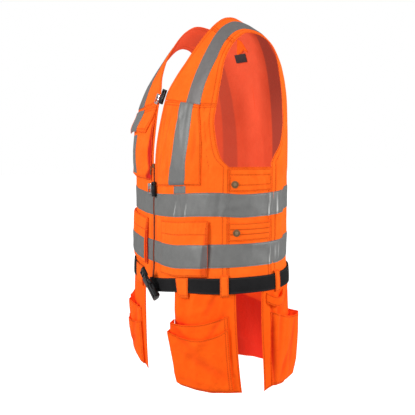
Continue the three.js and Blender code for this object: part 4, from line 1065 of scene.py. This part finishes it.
# Tabs on the side panels: their drops, and the angle and drop of each snap
tabs = {
    "upper": {"top": 320, "foot": 362, "snapAngle": 70, "snapDrop": 349},
    "lower": {"top": 430, "foot": 469, "snapAngle": 71.9, "snapDrop": 451},
}
tabSpan = (seams["side"] + 0.6, seams["back"] - 0.6)
for name, side in sides:
    place = underPlace(side)
    for level, row in tabs.items():
        grid = layGrid(place, tabSpan, (riseOf(row["foot"]), riseOf(row["top"])), 3,
                       left=(2,), right=(2,), foot=(2, 14), top=(2, 14))
        points = bodyPoints(grid, place, layers["gap"] + wallMm)
        sheetPiece(f"side_tab_{level}_{name}", f"tab_{level}_{name}", [(grid, points)],
                   restsOn=("side_" + name,), **vestCloth)

# The belt. Its first end hangs lower, by the buckle's weight.
belt = {"drop": 547, "width": 36.4, "wall": 2.2, "lift": 2.7, "start": -1, "end": 350, "droop": 18,
        "droopTo": 24}
beltTop, beltFoot = riseOf(belt["drop"]), riseOf(belt["drop"] + belt["width"])


def beltPlace(a, v):
    share = np.maximum(0, (belt["droopTo"] - a) / (belt["droopTo"] - belt["start"]))
    return a, v - belt["droop"] * share ** 1.2 / skirtLength


grid = layGrid(beltPlace, (belt["start"], belt["end"]), (beltFoot, beltTop), 4, foot=(3,), top=(3,))
points = offBody(grid, *beltPlace(grid["s"], grid["v"]), belt["lift"] + belt["wall"] + grid["dip"] * 0.5)
sheetPiece("webbing_belt", "belt", [(grid, points)], belt["wall"], (webbing,), "black_webbing",
           held="stretched", restsOn=("front_left", "front_right", "side_left", "side_right", "back_panel"))

# Its loops: the angles of their edges and the drop of their foot. A narrow one is sewn down over
# the belt, and a wide one leans.
overBelt = belt["lift"] + belt["wall"] + 2 * layers["gap"]
loopSlant = 2.4
loops = {
    "wide_left": {"first": 22.9, "last": 33.6, "foot": 597, "wide": True},
    "wide_right": {"first": -21, "last": -9, "foot": 597, "wide": True},
    "front_left": {"first": 59, "last": 65.5, "foot": 590, "wide": False},
    "front_right": {"first": -65.5, "last": -59, "foot": 590, "wide": False},
    "back_left": {"first": 100.5, "last": 105.5, "foot": 590, "wide": False},
    "back_right": {"first": -105.5, "last": -100.5, "foot": 590, "wide": False},
}
for name, loop in loops.items():
    drops = [loop["foot"], belt["drop"] + belt["width"] + 1.5, belt["drop"] - 1]
    lifts = [overBelt - 1, overBelt, overBelt]
    if not loop["wide"]:
        drops.append(belt["drop"] - 6)
        lifts.append(2 * layers["gap"])
    slant = loopSlant if loop["wide"] else 0

    def loopPlace(a, v):
        down = (beltTop - v) / (beltTop - riseOf(loop["foot"]))
        return a + slant * (loop["last"] - a) / (loop["last"] - loop["first"]) * down, v

    grid = layGrid(loopPlace, (loop["first"], loop["last"]), (riseOf(drops[0]), riseOf(drops[-1])), 2.5,
                   left=(2,), right=(2,), foot=(2, 6) if loop["wide"] else (2,), top=(2,))
    lift = np.interp(-grid["v"], [-riseOf(drop) for drop in drops[::-1]], lifts[::-1]) + wallMm
    points = offBody(grid, *loopPlace(grid["s"], grid["v"]), lift + grid["dip"])
    sheetPiece("cloth_loop_" + name, "belt_loop_" + name, [(grid, points)], wallMm, (vestOut,), "vest_cloth",
               restsOn=("belt",))
print("belt threaded")

# The tool holsters. Angles and drops place each one; its foot is drawn sideways by "shift" and in by
# "tuck". A turned one has its pouch's open side at the other edge. Each pouch on it has a mouth.
holsters = {
    "front_left": {"from": 20.5, "to": 71, "foot": 803, "shift": 5, "tuck": 0, "proud": 24,
                   "turned": False, "mouths": ("mouth", "outerMouth")},
    "back_left": {"from": 90, "to": 139, "foot": 811, "shift": 3, "tuck": 4, "proud": 24,
                  "turned": True, "mouths": ("mouth",)},
    "front_right": {"from": -53, "to": -7.5, "foot": 808, "shift": -4, "tuck": 14, "proud": 20,
                    "turned": False, "mouths": ("farMouth", "farOuterMouth")},
    "back_right": {"from": -192, "to": -142, "foot": 838, "shift": 0, "tuck": 0, "proud": 18,
                   "turned": False, "mouths": ("mouth",)},
}
holsterTop = 575.5
footRows = {
    "across": [0, 0.06, 0.25, 0.5, 0.75, 0.87, 1],
    "front_left": [0.955, 0.98, 0.995, 1, 1, 1, 1],
    "back_left": [0.965, 0.985, 0.995, 0.99, 0.975, 0.97, 1],
    "front_right": [0.86, 0.9, 0.94, 0.97, 0.985, 0.99, 1],
    "back_right": [0.87, 0.9, 0.93, 0.97, 0.99, 0.995, 1],
}
mouthRows = {
    "across": [0, 0.06, 0.25, 0.5, 0.75, 0.87, 1],
    "mouth": [0.335, 0.35, 0.355, 0.33, 0.28, 0.25, 0.25],
    "outerMouth": [0.405, 0.43, 0.475, 0.475, 0.42, 0.37, 0.37],
    "farMouth": [0.215, 0.33, 0.345, 0.35, 0.35, 0.35, 0.35],
    "farOuterMouth": [0.5, 0.55, 0.57, 0.55, 0.52, 0.5, 0.5],
    "lift": [0.02, 1, 0.75, 0.45, 0.25, 0, 0],
}
pouchDown = {
    "down": [0, 0.3, 0.6, 0.8, 0.93, 1],
    "front_left": [1, 0.82, 0.6, 0.5, 0.4, 0],
    "back_left": [1, 0.97, 0.92, 0.85, 0.7, 0.1],
    "front_right": [1, 1.05, 1, 0.8, 0.5, 0],
    "back_right": [1, 0.82, 0.6, 0.5, 0.4, 0],
}
pouch = {"gap": 0.9, "start": 0.01, "width": 0.87, "mouthShade": 0.85}
# How far an inner and an outer pouch lie off the holster, and how much more the outer one bags
pouchKinds = (("pouch", wallMm + pouch["gap"], 0), ("pouch_outer", 2 * wallMm + 3 * pouch["gap"], 5))
hollowShade = 0.13  # how much painted shade a sunken crease takes for each millimetre
hangCreases = {
    # across, up, slope, length, width, depth
    "front_left": [
        (0.35, 0.9, 70, 26, 7, 2.4), (0.6, 0.85, 55, 34, 8, -2.4), (0.8, 0.88, 65, 30, 7, 2.2),
        (0.45, 0.78, 12, 40, 8, 2.0), (0.18, 0.55, -38, 50, 9, -3.0), (0.5, 0.5, 34, 60, 9, 2.6),
        (0.66, 0.62, 48, 44, 7, -2.6), (0.25, 0.32, 66, 50, 10, 2.4),
        (0.5, 0.28, -24, 60, 11, -2.2), (0.72, 0.3, 62, 60, 10, 2.2), (0.3, 0.12, -8, 60, 8, 1.6),
        (0.93, 0.5, 86, 90, 5, 1.4),
    ],
    "back_left": [
        (0.3, 0.85, -30, 40, 8, 3.0), (0.6, 0.82, 30, 40, 8, -2.6), (0.3, 0.6, 80, 80, 8, -2.4),
        (0.48, 0.5, 84, 90, 9, 3.4), (0.64, 0.42, 76, 70, 9, -3.2),
        (0.165, 0.42, 91, 95, 4.5, -7.5), (0.22, 0.5, 88, 80, 6, 3.0), (0.8, 0.5, 88, 70, 8, 2.6),
        (0.42, 0.22, 55, 44, 9, -3.0), (0.6, 0.15, 20, 40, 9, 2.4),
    ],
    "front_right": [
        (0.3, 0.6, 80, 60, 9, 2.4), (0.6, 0.4, 76, 70, 9, -2.4), (0.8, 0.7, 84, 60, 7, 2.0),
        (0.5, 0.2, 30, 40, 9, -2.0),
    ],
    "back_right": [
        (0.3, 0.6, 84, 80, 12, 3.0), (0.55, 0.5, 80, 90, 12, -3.0), (0.78, 0.5, 86, 80, 11, 2.4),
        (0.45, 0.2, 20, 50, 10, -2.0),
    ],
}


def shareOf(name, u):
    return 1 - u if holsters[name]["turned"] else u


def lengthOf(name):
    return holsters[name]["foot"] - holsterTop


# How far down the foot's edge is, as a share of the length
def footAt(name, u):
    return readRows(footRows, "across", name, shareOf(name, u))


# How far up a pouch's mouth is, as a share of the cloth behind it
def mouthAt(name, column, u):
    return 1 - readRows(mouthRows, "across", column, shareOf(name, u)) / footAt(name, u)


def hangPlace(name):
    row = holsters[name]

    def place(u, up):
        angle = row["from"] + (row["to"] - row["from"]) * u + row["shift"] * (1 - up) ** 2
        share = 1 - footAt(name, u) * (1 - up)
        return angle, riseOf(row["foot"] + (holsterTop - row["foot"]) * share)
    return place


def hangPoints(grid, name, place, lift):
    row = holsters[name]
    angle, rise = place(grid["s"], grid["v"])
    up = grid.get("up", grid["v"])
    wide = abs(row["to"] - row["from"]) * skirtDegree
    off = -row["tuck"] * (1 - up) ** 1.6
    ripple = (1.2 * np.sin(angle * 0.23 + rise * 2) * smooth((1 - up) * 3)
              + 0.8 * np.sin(angle * 0.5 - rise * 7))
    shade = np.zeros(np.shape(angle))
    for across, high, slope, length, width, depth in hangCreases[name]:
        fold = ridgeAt((grid["s"] - across) * wide, (up - high) * lengthOf(name), slope, length, width)
        fold = fold * smooth((1 - up) * 14)
        ripple = ripple + depth * fold
        # painted shade in the sunken creases
        shade = shade + max(-depth, 0) * hollowShade * fold
    grid["paintedShading"] = np.maximum(grid.get("paintedShading", 0), shade)
    return offBody(grid, angle, rise, off + lift + ripple + grid["dip"])


def pouchHeight(name, column, u, t):
    return pouch["start"] + (mouthAt(name, column, u) - pouch["start"]) * t


def pouchLift(name, base, proud, u, t):
    stand = np.interp(shareOf(name, u), mouthRows["across"], mouthRows["lift"])
    return base + wallMm + proud * stand * np.interp(1 - t, pouchDown["down"], pouchDown[name])


# The cloth behind an open mouth is painted with deep shade
def underMouth(name, column, u, up):
    depth = (mouthAt(name, column, u) - up) * lengthOf(name)
    return pouch["mouthShade"] * smooth((depth + 3) / 9) * smooth((0.86 - shareOf(name, u)) / 0.05)


for name, row in holsters.items():
    mouths = row["mouths"]
    place = hangPlace(name)
    grid = layGrid(place, (0, 1), (0, 1), 3.6, left=(3,), right=(3,), foot=(3,), top=(3,))
    # painted shade behind the inner pouch's open mouth
    grid["paintedShading"] = underMouth(name, mouths[0], grid["s"], grid["v"])
    sheetPiece("holster_cloth_" + name, "holster_" + name, [(grid, hangPoints(grid, name, place, wallMm))],
               restsOn=("belt",), **holsterCloth)
    for (kind, base, more), mouth in zip(pouchKinds, mouths):

        def pouchPlace(u, t):
            return place(u, pouchHeight(name, mouth, u, t))

        span = (1 - pouch["width"], 1) if row["turned"] else (0, pouch["width"])
        grid = layGrid(pouchPlace, span, (0, 1), 3.2, left=(2,), right=(2, 7), foot=(3,), top=(3,))
        grid["up"] = pouchHeight(name, mouth, grid["s"], grid["v"])
        # painted shade under the outer pouch's open mouth
        if mouth != mouths[-1]:
            grid["paintedShading"] = underMouth(name, mouths[-1], grid["s"], grid["up"])
        lift = pouchLift(name, base, row["proud"] + more, grid["s"], grid["v"])
        points = hangPoints(grid, name, pouchPlace, lift)
        sheetPiece(f"{kind}_cloth_{name}", f"{kind}_{name}", [(grid, points)],
                   restsOn=("holster_" + name,), **holsterCloth)
print("holsters hung")

# The hammer loop hangs in a bow under the belt
hammer = {"from": 93, "to": 112, "top": 588, "sag": 14, "width": 22, "lift": 1.85, "bow": 9}


def bowPlace(t, w):
    angle = hammer["from"] + (hammer["to"] - hammer["from"]) * t
    sag = hammer["sag"] * np.sin(np.pi * np.clip(t, 1e-6, 1)) ** 0.8
    return angle, riseOf(hammer["top"] + sag + hammer["width"] * (1 - w))


grid = layGrid(bowPlace, (0, 1), (0, 1), 2, foot=(2,), top=(2,))
lift = hammer["lift"] + hammer["bow"] * np.sin(np.pi * grid["s"]) + wallMm + grid["dip"]
points = offBody(grid, *bowPlace(grid["s"], grid["v"]), lift)
sheetPiece("cloth_hammer_loop", "hammer_loop", [(grid, points)], restsOn=("belt",), **holsterCloth)


# Hard pieces are made lying flat, with z out, and then set on the cloth
def setOn(piece, angle, rise, lift, tilt=0.0):
    out = outward(angle, rise)
    across = unit(np.array([-out[1], out[0], 0]))
    up = np.cross(out, across)
    place = bodyPoint(angle, rise) + out * lift
    turned = Matrix((across, up, out)).transposed().to_4x4()
    tilted = Matrix.Rotation(math.radians(tilt), 4, "Z")
    piece.data.transform(Matrix.Translation(Vector(place * 0.001)) @ turned @ tilted)


# A cube at its size, and everything else deselected
def cube(width, height, depth):
    bpy.ops.object.select_all(action="DESELECT")
    bpy.ops.mesh.primitive_cube_add(size=1, location=(0, 0, 0))
    piece = bpy.context.object
    piece.data.transform(Matrix.Diagonal((width * 0.001, height * 0.001, depth * 0.001, 1)))
    return piece


def soften(piece, width, segments):
    modifier = piece.modifiers.new("edge", "BEVEL")
    modifier.width = width * 0.001
    modifier.segments = segments
    modifier.limit_method = "ANGLE"
    bpy.context.view_layer.objects.active = piece
    bpy.ops.object.modifier_apply(modifier=modifier.name)


def block(width, height, depth, bevel, segments, place=(0, 0, 0)):
    piece = cube(width, height, depth)
    piece.data.transform(Matrix.Translation(Vector(place) * 0.001))
    soften(piece, bevel, segments)
    return piece


# Rounds the upright corners first, then the rims, as a moulded plate has them
def plate(width, height, depth, corner, rim, place=(0, 0, 0)):
    piece = cube(width, height, depth)
    bpy.ops.object.mode_set(mode="EDIT")
    work = bmesh.from_edit_mesh(piece.data)
    for part in (work.verts, work.edges, work.faces):
        for item in part:
            item.select = False
    for edge in work.edges:
        run = edge.verts[0].co - edge.verts[1].co
        edge.select = abs(run.z) > 0.9 * run.length
    work.select_flush(True)
    bmesh.update_edit_mesh(piece.data)
    bpy.ops.mesh.bevel(offset=corner * 0.001, segments=6)
    bpy.ops.object.mode_set(mode="OBJECT")
    soften(piece, rim, 3)
    piece.data.transform(Matrix.Translation(Vector(place) * 0.001))
    return piece


def cutOut(piece, cutters):
    for cutter in cutters:
        modifier = piece.modifiers.new("hole", "BOOLEAN")
        modifier.operation = "DIFFERENCE"
        modifier.solver = "EXACT"
        modifier.object = cutter
        bpy.context.view_layer.objects.active = piece
        bpy.ops.object.modifier_apply(modifier=modifier.name)
        bpy.data.objects.remove(cutter)
    return piece


def hardPiece(name, node, pieces, material):
    piece = joined(pieces)
    piece.name = name
    piece.data.materials.clear()
    piece.data.materials.append(material)
    bpy.ops.object.shade_smooth_by_angle(angle=math.radians(35))
    if node:
        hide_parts(node)
    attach(piece, "root")


# A round face on a snap or rivet: each step goes in from the edge and then up or down
def roundPiece(radius, depth, steps, vertices=48):
    bpy.ops.object.select_all(action="DESELECT")
    bpy.ops.mesh.primitive_cylinder_add(vertices=vertices, radius=radius * 0.001, depth=depth * 0.001)
    piece = bpy.context.object
    bpy.ops.object.mode_set(mode="EDIT")
    work = bmesh.from_edit_mesh(piece.data)
    for face in work.faces:
        face.select = face.normal.z > 0.9
    work.select_flush_mode()
    bmesh.update_edit_mesh(piece.data)
    for inward, rise in steps:
        bpy.ops.mesh.inset(thickness=inward * 0.001)
        bpy.ops.transform.translate(value=(0, 0, rise * 0.001))
    bpy.ops.object.mode_set(mode="OBJECT")
    soften(piece, 0.25, 2)
    return piece


# A snap's button and the paler dome on it. The lift is over the tab's cloth.
snaps = {
    "button": {"radius": 7.8, "depth": 1.1, "lift": 0.9,
               "steps": ((0.7, 0.7), (1.6, 0.5), (1.5, -0.5), (1.3, 0.1), (1.2, 0.35))},
    "dome": {"radius": 3.6, "depth": 1.0, "lift": 2.4, "steps": ((0.8, 0.4), (1.0, 0.3)), "vertices": 32},
}


def snapPart(lift, tab, side, **shape):
    part = roundPiece(**shape)
    setOn(part, side * tab["snapAngle"], riseOf(tab["snapDrop"]), layers["gap"] + wallMm + lift)
    return [part]


for name, side in sides:
    for level, row in tabs.items():
        button = snapPart(tab=row, side=side, **snaps["button"])
        hardPiece(f"snap_button_{level}_{name}", f"snap_{level}_{name}", button, dull)
        dome = snapPart(tab=row, side=side, **snaps["dome"])
        hardPiece(f"snap_dome_{level}_{name}", None, dome, paler)
print("snaps set")

# The zip: teeth between the fronts, a tape behind them, and the slider with its pull
zipSet = {"top": 316, "tapeHalf": 7, "wall": 0.5, "under": 0.35}
tooth = {"size": (2.6, 1.5, 1.9), "edge": 0.3, "pitch": 2.7, "x": 1.15, "sink": 0.2}
zipPitch = tooth["pitch"] / skirtLength


def zipPlace(x, v):
    return angleOf(x, v), v


grid = layGrid(zipPlace, (-zipSet["tapeHalf"], zipSet["tapeHalf"]), (-1, riseOf(zipSet["top"])), 3)
points = bodyPoints(grid, zipPlace, -wallMm - zipSet["under"])
sheetPiece("zip_tape", None, [(grid, points)], zipSet["wall"], (zipCloth,), "zip_teeth",
           held="stretched", restsOn=("front_left", "front_right"))
teeth = []
first = block(*tooth["size"], tooth["edge"], 1)
for rise in np.arange(riseOf(zipSet["top"]), -1, -zipPitch):
    for side in (1, -1):
        copy = first.copy()
        copy.data = first.data.copy()
        bpy.context.collection.objects.link(copy)
        high = rise - (0.5 * zipPitch if side > 0 else 0)
        setOn(copy, float(angleOf(side * tooth["x"], high)), high, -tooth["sink"])
        teeth.append(copy)
bpy.data.objects.remove(first)
hardPiece("zip_teeth_closed", "zip_chain", teeth, zipTeeth)

# A plate is given by width, height, depth, corner, rim and place, and a block by width, height,
# depth, bevel, segments and place. The clips and the buckle list theirs in the same way.
pull = {
    "angle": -1.2, "tilt": -8, "lift": 1.0, "drop": zipSet["top"] + 2,
    "slider": (8.6, 10, 3.6, 2.6, 0.8), "bridge": (2.4, 7, 2.4, 0.6, 2, (0, 0.5, 2.4)),
    "tab": (5.4, 20, 1.5, 2.2, 0.4, (0, -11, 2.6)),
    "holes": [(2.4, 5, 6, 1.1, 0.2, (0, -4.5, 2.6)), (2.6, 7, 6, 1.2, 0.2, (0, -15, 2.6))],
}
slider = joined([plate(*pull["slider"]), block(*pull["bridge"])])
pullTab = cutOut(plate(*pull["tab"]), [plate(*hole) for hole in pull["holes"]])
setOn(slider, 0.0, riseOf(pull["drop"]), pull["lift"])
setOn(pullTab, pull["angle"], riseOf(pull["drop"]), pull["lift"], pull["tilt"])
hardPiece("zip_slider_and_pull", "zip_pull", [slider, pullTab], dull)
print("zip made")

# The clips across the front edges: a black hook on the left side, a bright catch on the right
clips = {
    "upper": {"rise": seams["yoke"] - 0.005, "hook": 9.5, "catch": -23, "lift": 0.6, "tilt": -14},
    "lower": {"rise": riseOf(358.7), "hook": 11, "catch": -15, "lift": 2.2, "tilt": 2},
}
clipDepth = 7
hook = {
    "plate": (16, 35, clipDepth * 0.8, 5.5, 1.4), "hole": (7, 4, 20, 1.4, 0.3, (0, 11, 0)),
    "ridge": (9, 18, clipDepth, 3.4, 1.2, (0, -4, 0)),
}
catch = {
    "plate": (19, 25, clipDepth * 0.45, 4, 1.0), "hole": (11, 13, 20, 2, 0.3, (0, -2, 0)),
    "bar": (15, 2.6, clipDepth * 0.5, 0.9, 3, (0, 1.2, 0.6)),
}


def setClip(parts, clip, x, lift):
    for part in parts:
        setOn(part, float(angleOf(x, clip["rise"])), clip["rise"], clip["lift"] + lift, clip["tilt"])


for level, clip in clips.items():
    parts = [cutOut(plate(*hook["plate"]), [plate(*hook["hole"])]), plate(*hook["ridge"])]
    setClip(parts, clip, clip["hook"], clipDepth / 2)
    hardPiece("hook_" + level, "clip_hook_" + level, parts, plastic)
    parts = [cutOut(plate(*catch["plate"]), [plate(*catch["hole"])]), block(*catch["bar"])]
    setClip(parts, clip, clip["catch"], clipDepth * 0.3)
    hardPiece("catch_" + level, "clip_catch_" + level, parts, chrome)
print("clips set")

# The shut belt buckle hangs askew in front of the belt's ends
buckle = {
    "place": (26, -181.5, -590), "axis": (0.526, 0.234, -0.818), "facing": (-0.13, -0.92, -0.24),
    "socket": (35, 46, 8.6, 9, 2.2, (0, -16, 0)),
    "socketHoles": [(9, 15, 7, 3, 0.4, (17.5, -12, 0)), (9, 15, 7, 3, 0.4, (-17.5, -12, 0)),
                    (22, 3.6, 30, 1.5, 0.3, (0, -33, 0))],
    "head": (34, 22, 8.5, 5, 1.6, (0, 27, 0)),
    "headHoles": [(25, 3.4, 30, 1.4, 0.3, (0, 23.5, 0)), (25, 3.4, 30, 1.4, 0.3, (0, 31.5, 0))],
    "crown": (15, 34, 9.4, 6, 1.6, (0, -15, 0)),
    "shoulders": (30, 24, 5, 7, 2.2, (0, 8, 4)),
    "heel": (27, 12, 10, 4.5, 3.2, (0, -33, -4)),
    "prongs": [(5.5, 16, 5, 1.6, 3, (11.5, 10.5, 0)), (5.5, 16, 5, 1.6, 3, (-11.5, 10.5, 0))],
    "middle": (8, 14, 6, 1.2, 3, (0, 11, 0)),
    "spine": (7, 52, 3, 1.2, 3, (0, -8, 4.6)),
}
axis = Vector(buckle["axis"]).normalized()
facing = Vector(buckle["facing"])
facing = (facing - axis * facing.dot(axis)).normalized()
turned = Matrix((-axis.cross(facing), -axis, facing)).transposed().to_4x4()
shut = [
    cutOut(plate(*buckle["socket"]), [plate(*hole) for hole in buckle["socketHoles"]]),
    plate(*buckle["crown"]),
    *(block(*prong) for prong in buckle["prongs"]),
    cutOut(plate(*buckle["head"]), [plate(*hole) for hole in buckle["headHoles"]]),
    block(*buckle["middle"]),
    plate(*buckle["shoulders"]),
    plate(*buckle["heel"]),
    block(*buckle["spine"]),
]
for part in shut:
    part.data.transform(Matrix.Translation(Vector(buckle["place"]) * 0.001) @ turned)
hardPiece("buckle_shut", "belt_buckle", shut, plastic)

# The brighter gusset of cloth above the tab, widest at its foot
gusset = {"angle": 181.5, "half": 4.6, "foot": 0.513, "top": 0.6, "wall": 0.8, "under": 0.5}


def gussetPlace(s, v):
    width = np.clip(downOf(gusset, v), 0.04, 1)
    return gusset["angle"] + gusset["half"] * s * width, v


grid = layGrid(gussetPlace, (-1, 1), (gusset["foot"], gusset["top"]), 2.5, foot=(2,))
points = bodyPoints(grid, gussetPlace, -wallMm - gusset["under"])
sheetPiece("neck_gusset", None, [(grid, points)], gusset["wall"], (vestOut,), "vest_cloth",
           restsOn=("back_panel",))

# The blank tab inside the back of the neck
neckTab = {"plate": (44, 21, 0.9, 0.8, 0.2), "angle": 183, "rise": 0.49, "under": 3}
tab = plate(*neckTab["plate"])
setOn(tab, neckTab["angle"], neckTab["rise"], -wallMm - neckTab["under"])
hardPiece("blank_neck_tab", "inner_tab", [tab], tabCloth)
print("hard pieces made")

# The floor, the lights and the white room. The room shows white and lights the vest more softly.
room = {"floor": -1.35, "seen": 1.0, "light": 0.38}
lamps = {
    "key": {"right": -0.85, "back": 0.45, "up": 0.35, "far": 3.2, "size": 0.9, "power": 90},
    "side": {"right": 0.85, "back": 0.4, "up": 0.3, "far": 3.0, "size": 1.1, "power": 78},
    "front": {"right": -0.1, "back": 1.0, "up": 0.75, "far": 3.4, "size": 1.6, "power": 18},
}


def lightTheRoom():
    bpy.ops.object.select_all(action="DESELECT")
    bpy.ops.mesh.primitive_plane_add(size=60, location=(0, 0, room["floor"]))
    floor = bpy.context.object
    floor.name = "floor"
    pale, tree, shader = newMaterial("pale floor", rough=0.95, Base_Color=(0.55, 0.55, 0.55),
                                     Emission_Color=(1.0, 1.0, 1.0), Specular_IOR_Level=0.0)
    seen = nodeIn(tree, "ShaderNodeLightPath").outputs["Is Camera Ray"]
    tree.links.new(seen, shader.inputs["Emission Strength"])
    floor.data.materials.append(pale)
    world = bpy.data.worlds.new("room")
    bpy.context.scene.world = world
    world.use_nodes = True
    tree = world.node_tree
    seen = nodeIn(tree, "ShaderNodeLightPath").outputs["Is Camera Ray"]
    strength = mathNode(tree, "MULTIPLY", seen, room["seen"] - room["light"])
    sky = tree.nodes["Background"]
    sky.inputs["Color"].default_value = (1, 1, 1, 1)
    tree.links.new(mathNode(tree, "ADD", strength, room["light"]), sky.inputs["Strength"])
    aim = Vector(cameraSet["target"])
    right, back = cameraAxes()
    for name, lamp in lamps.items():
        light = bpy.data.lights.new(name, "AREA")
        light.size, light.energy = lamp["size"], lamp["power"]
        source = bpy.data.objects.new(name, light)
        bpy.context.collection.objects.link(source)
        way = right * lamp["right"] + back * lamp["back"] + Vector((0, 0, lamp["up"]))
        source.location = aim + way.normalized() * lamp["far"]
        source.rotation_euler = (-way).to_track_quat("-Z", "Y").to_euler()


lightTheRoom()
print("room lit")
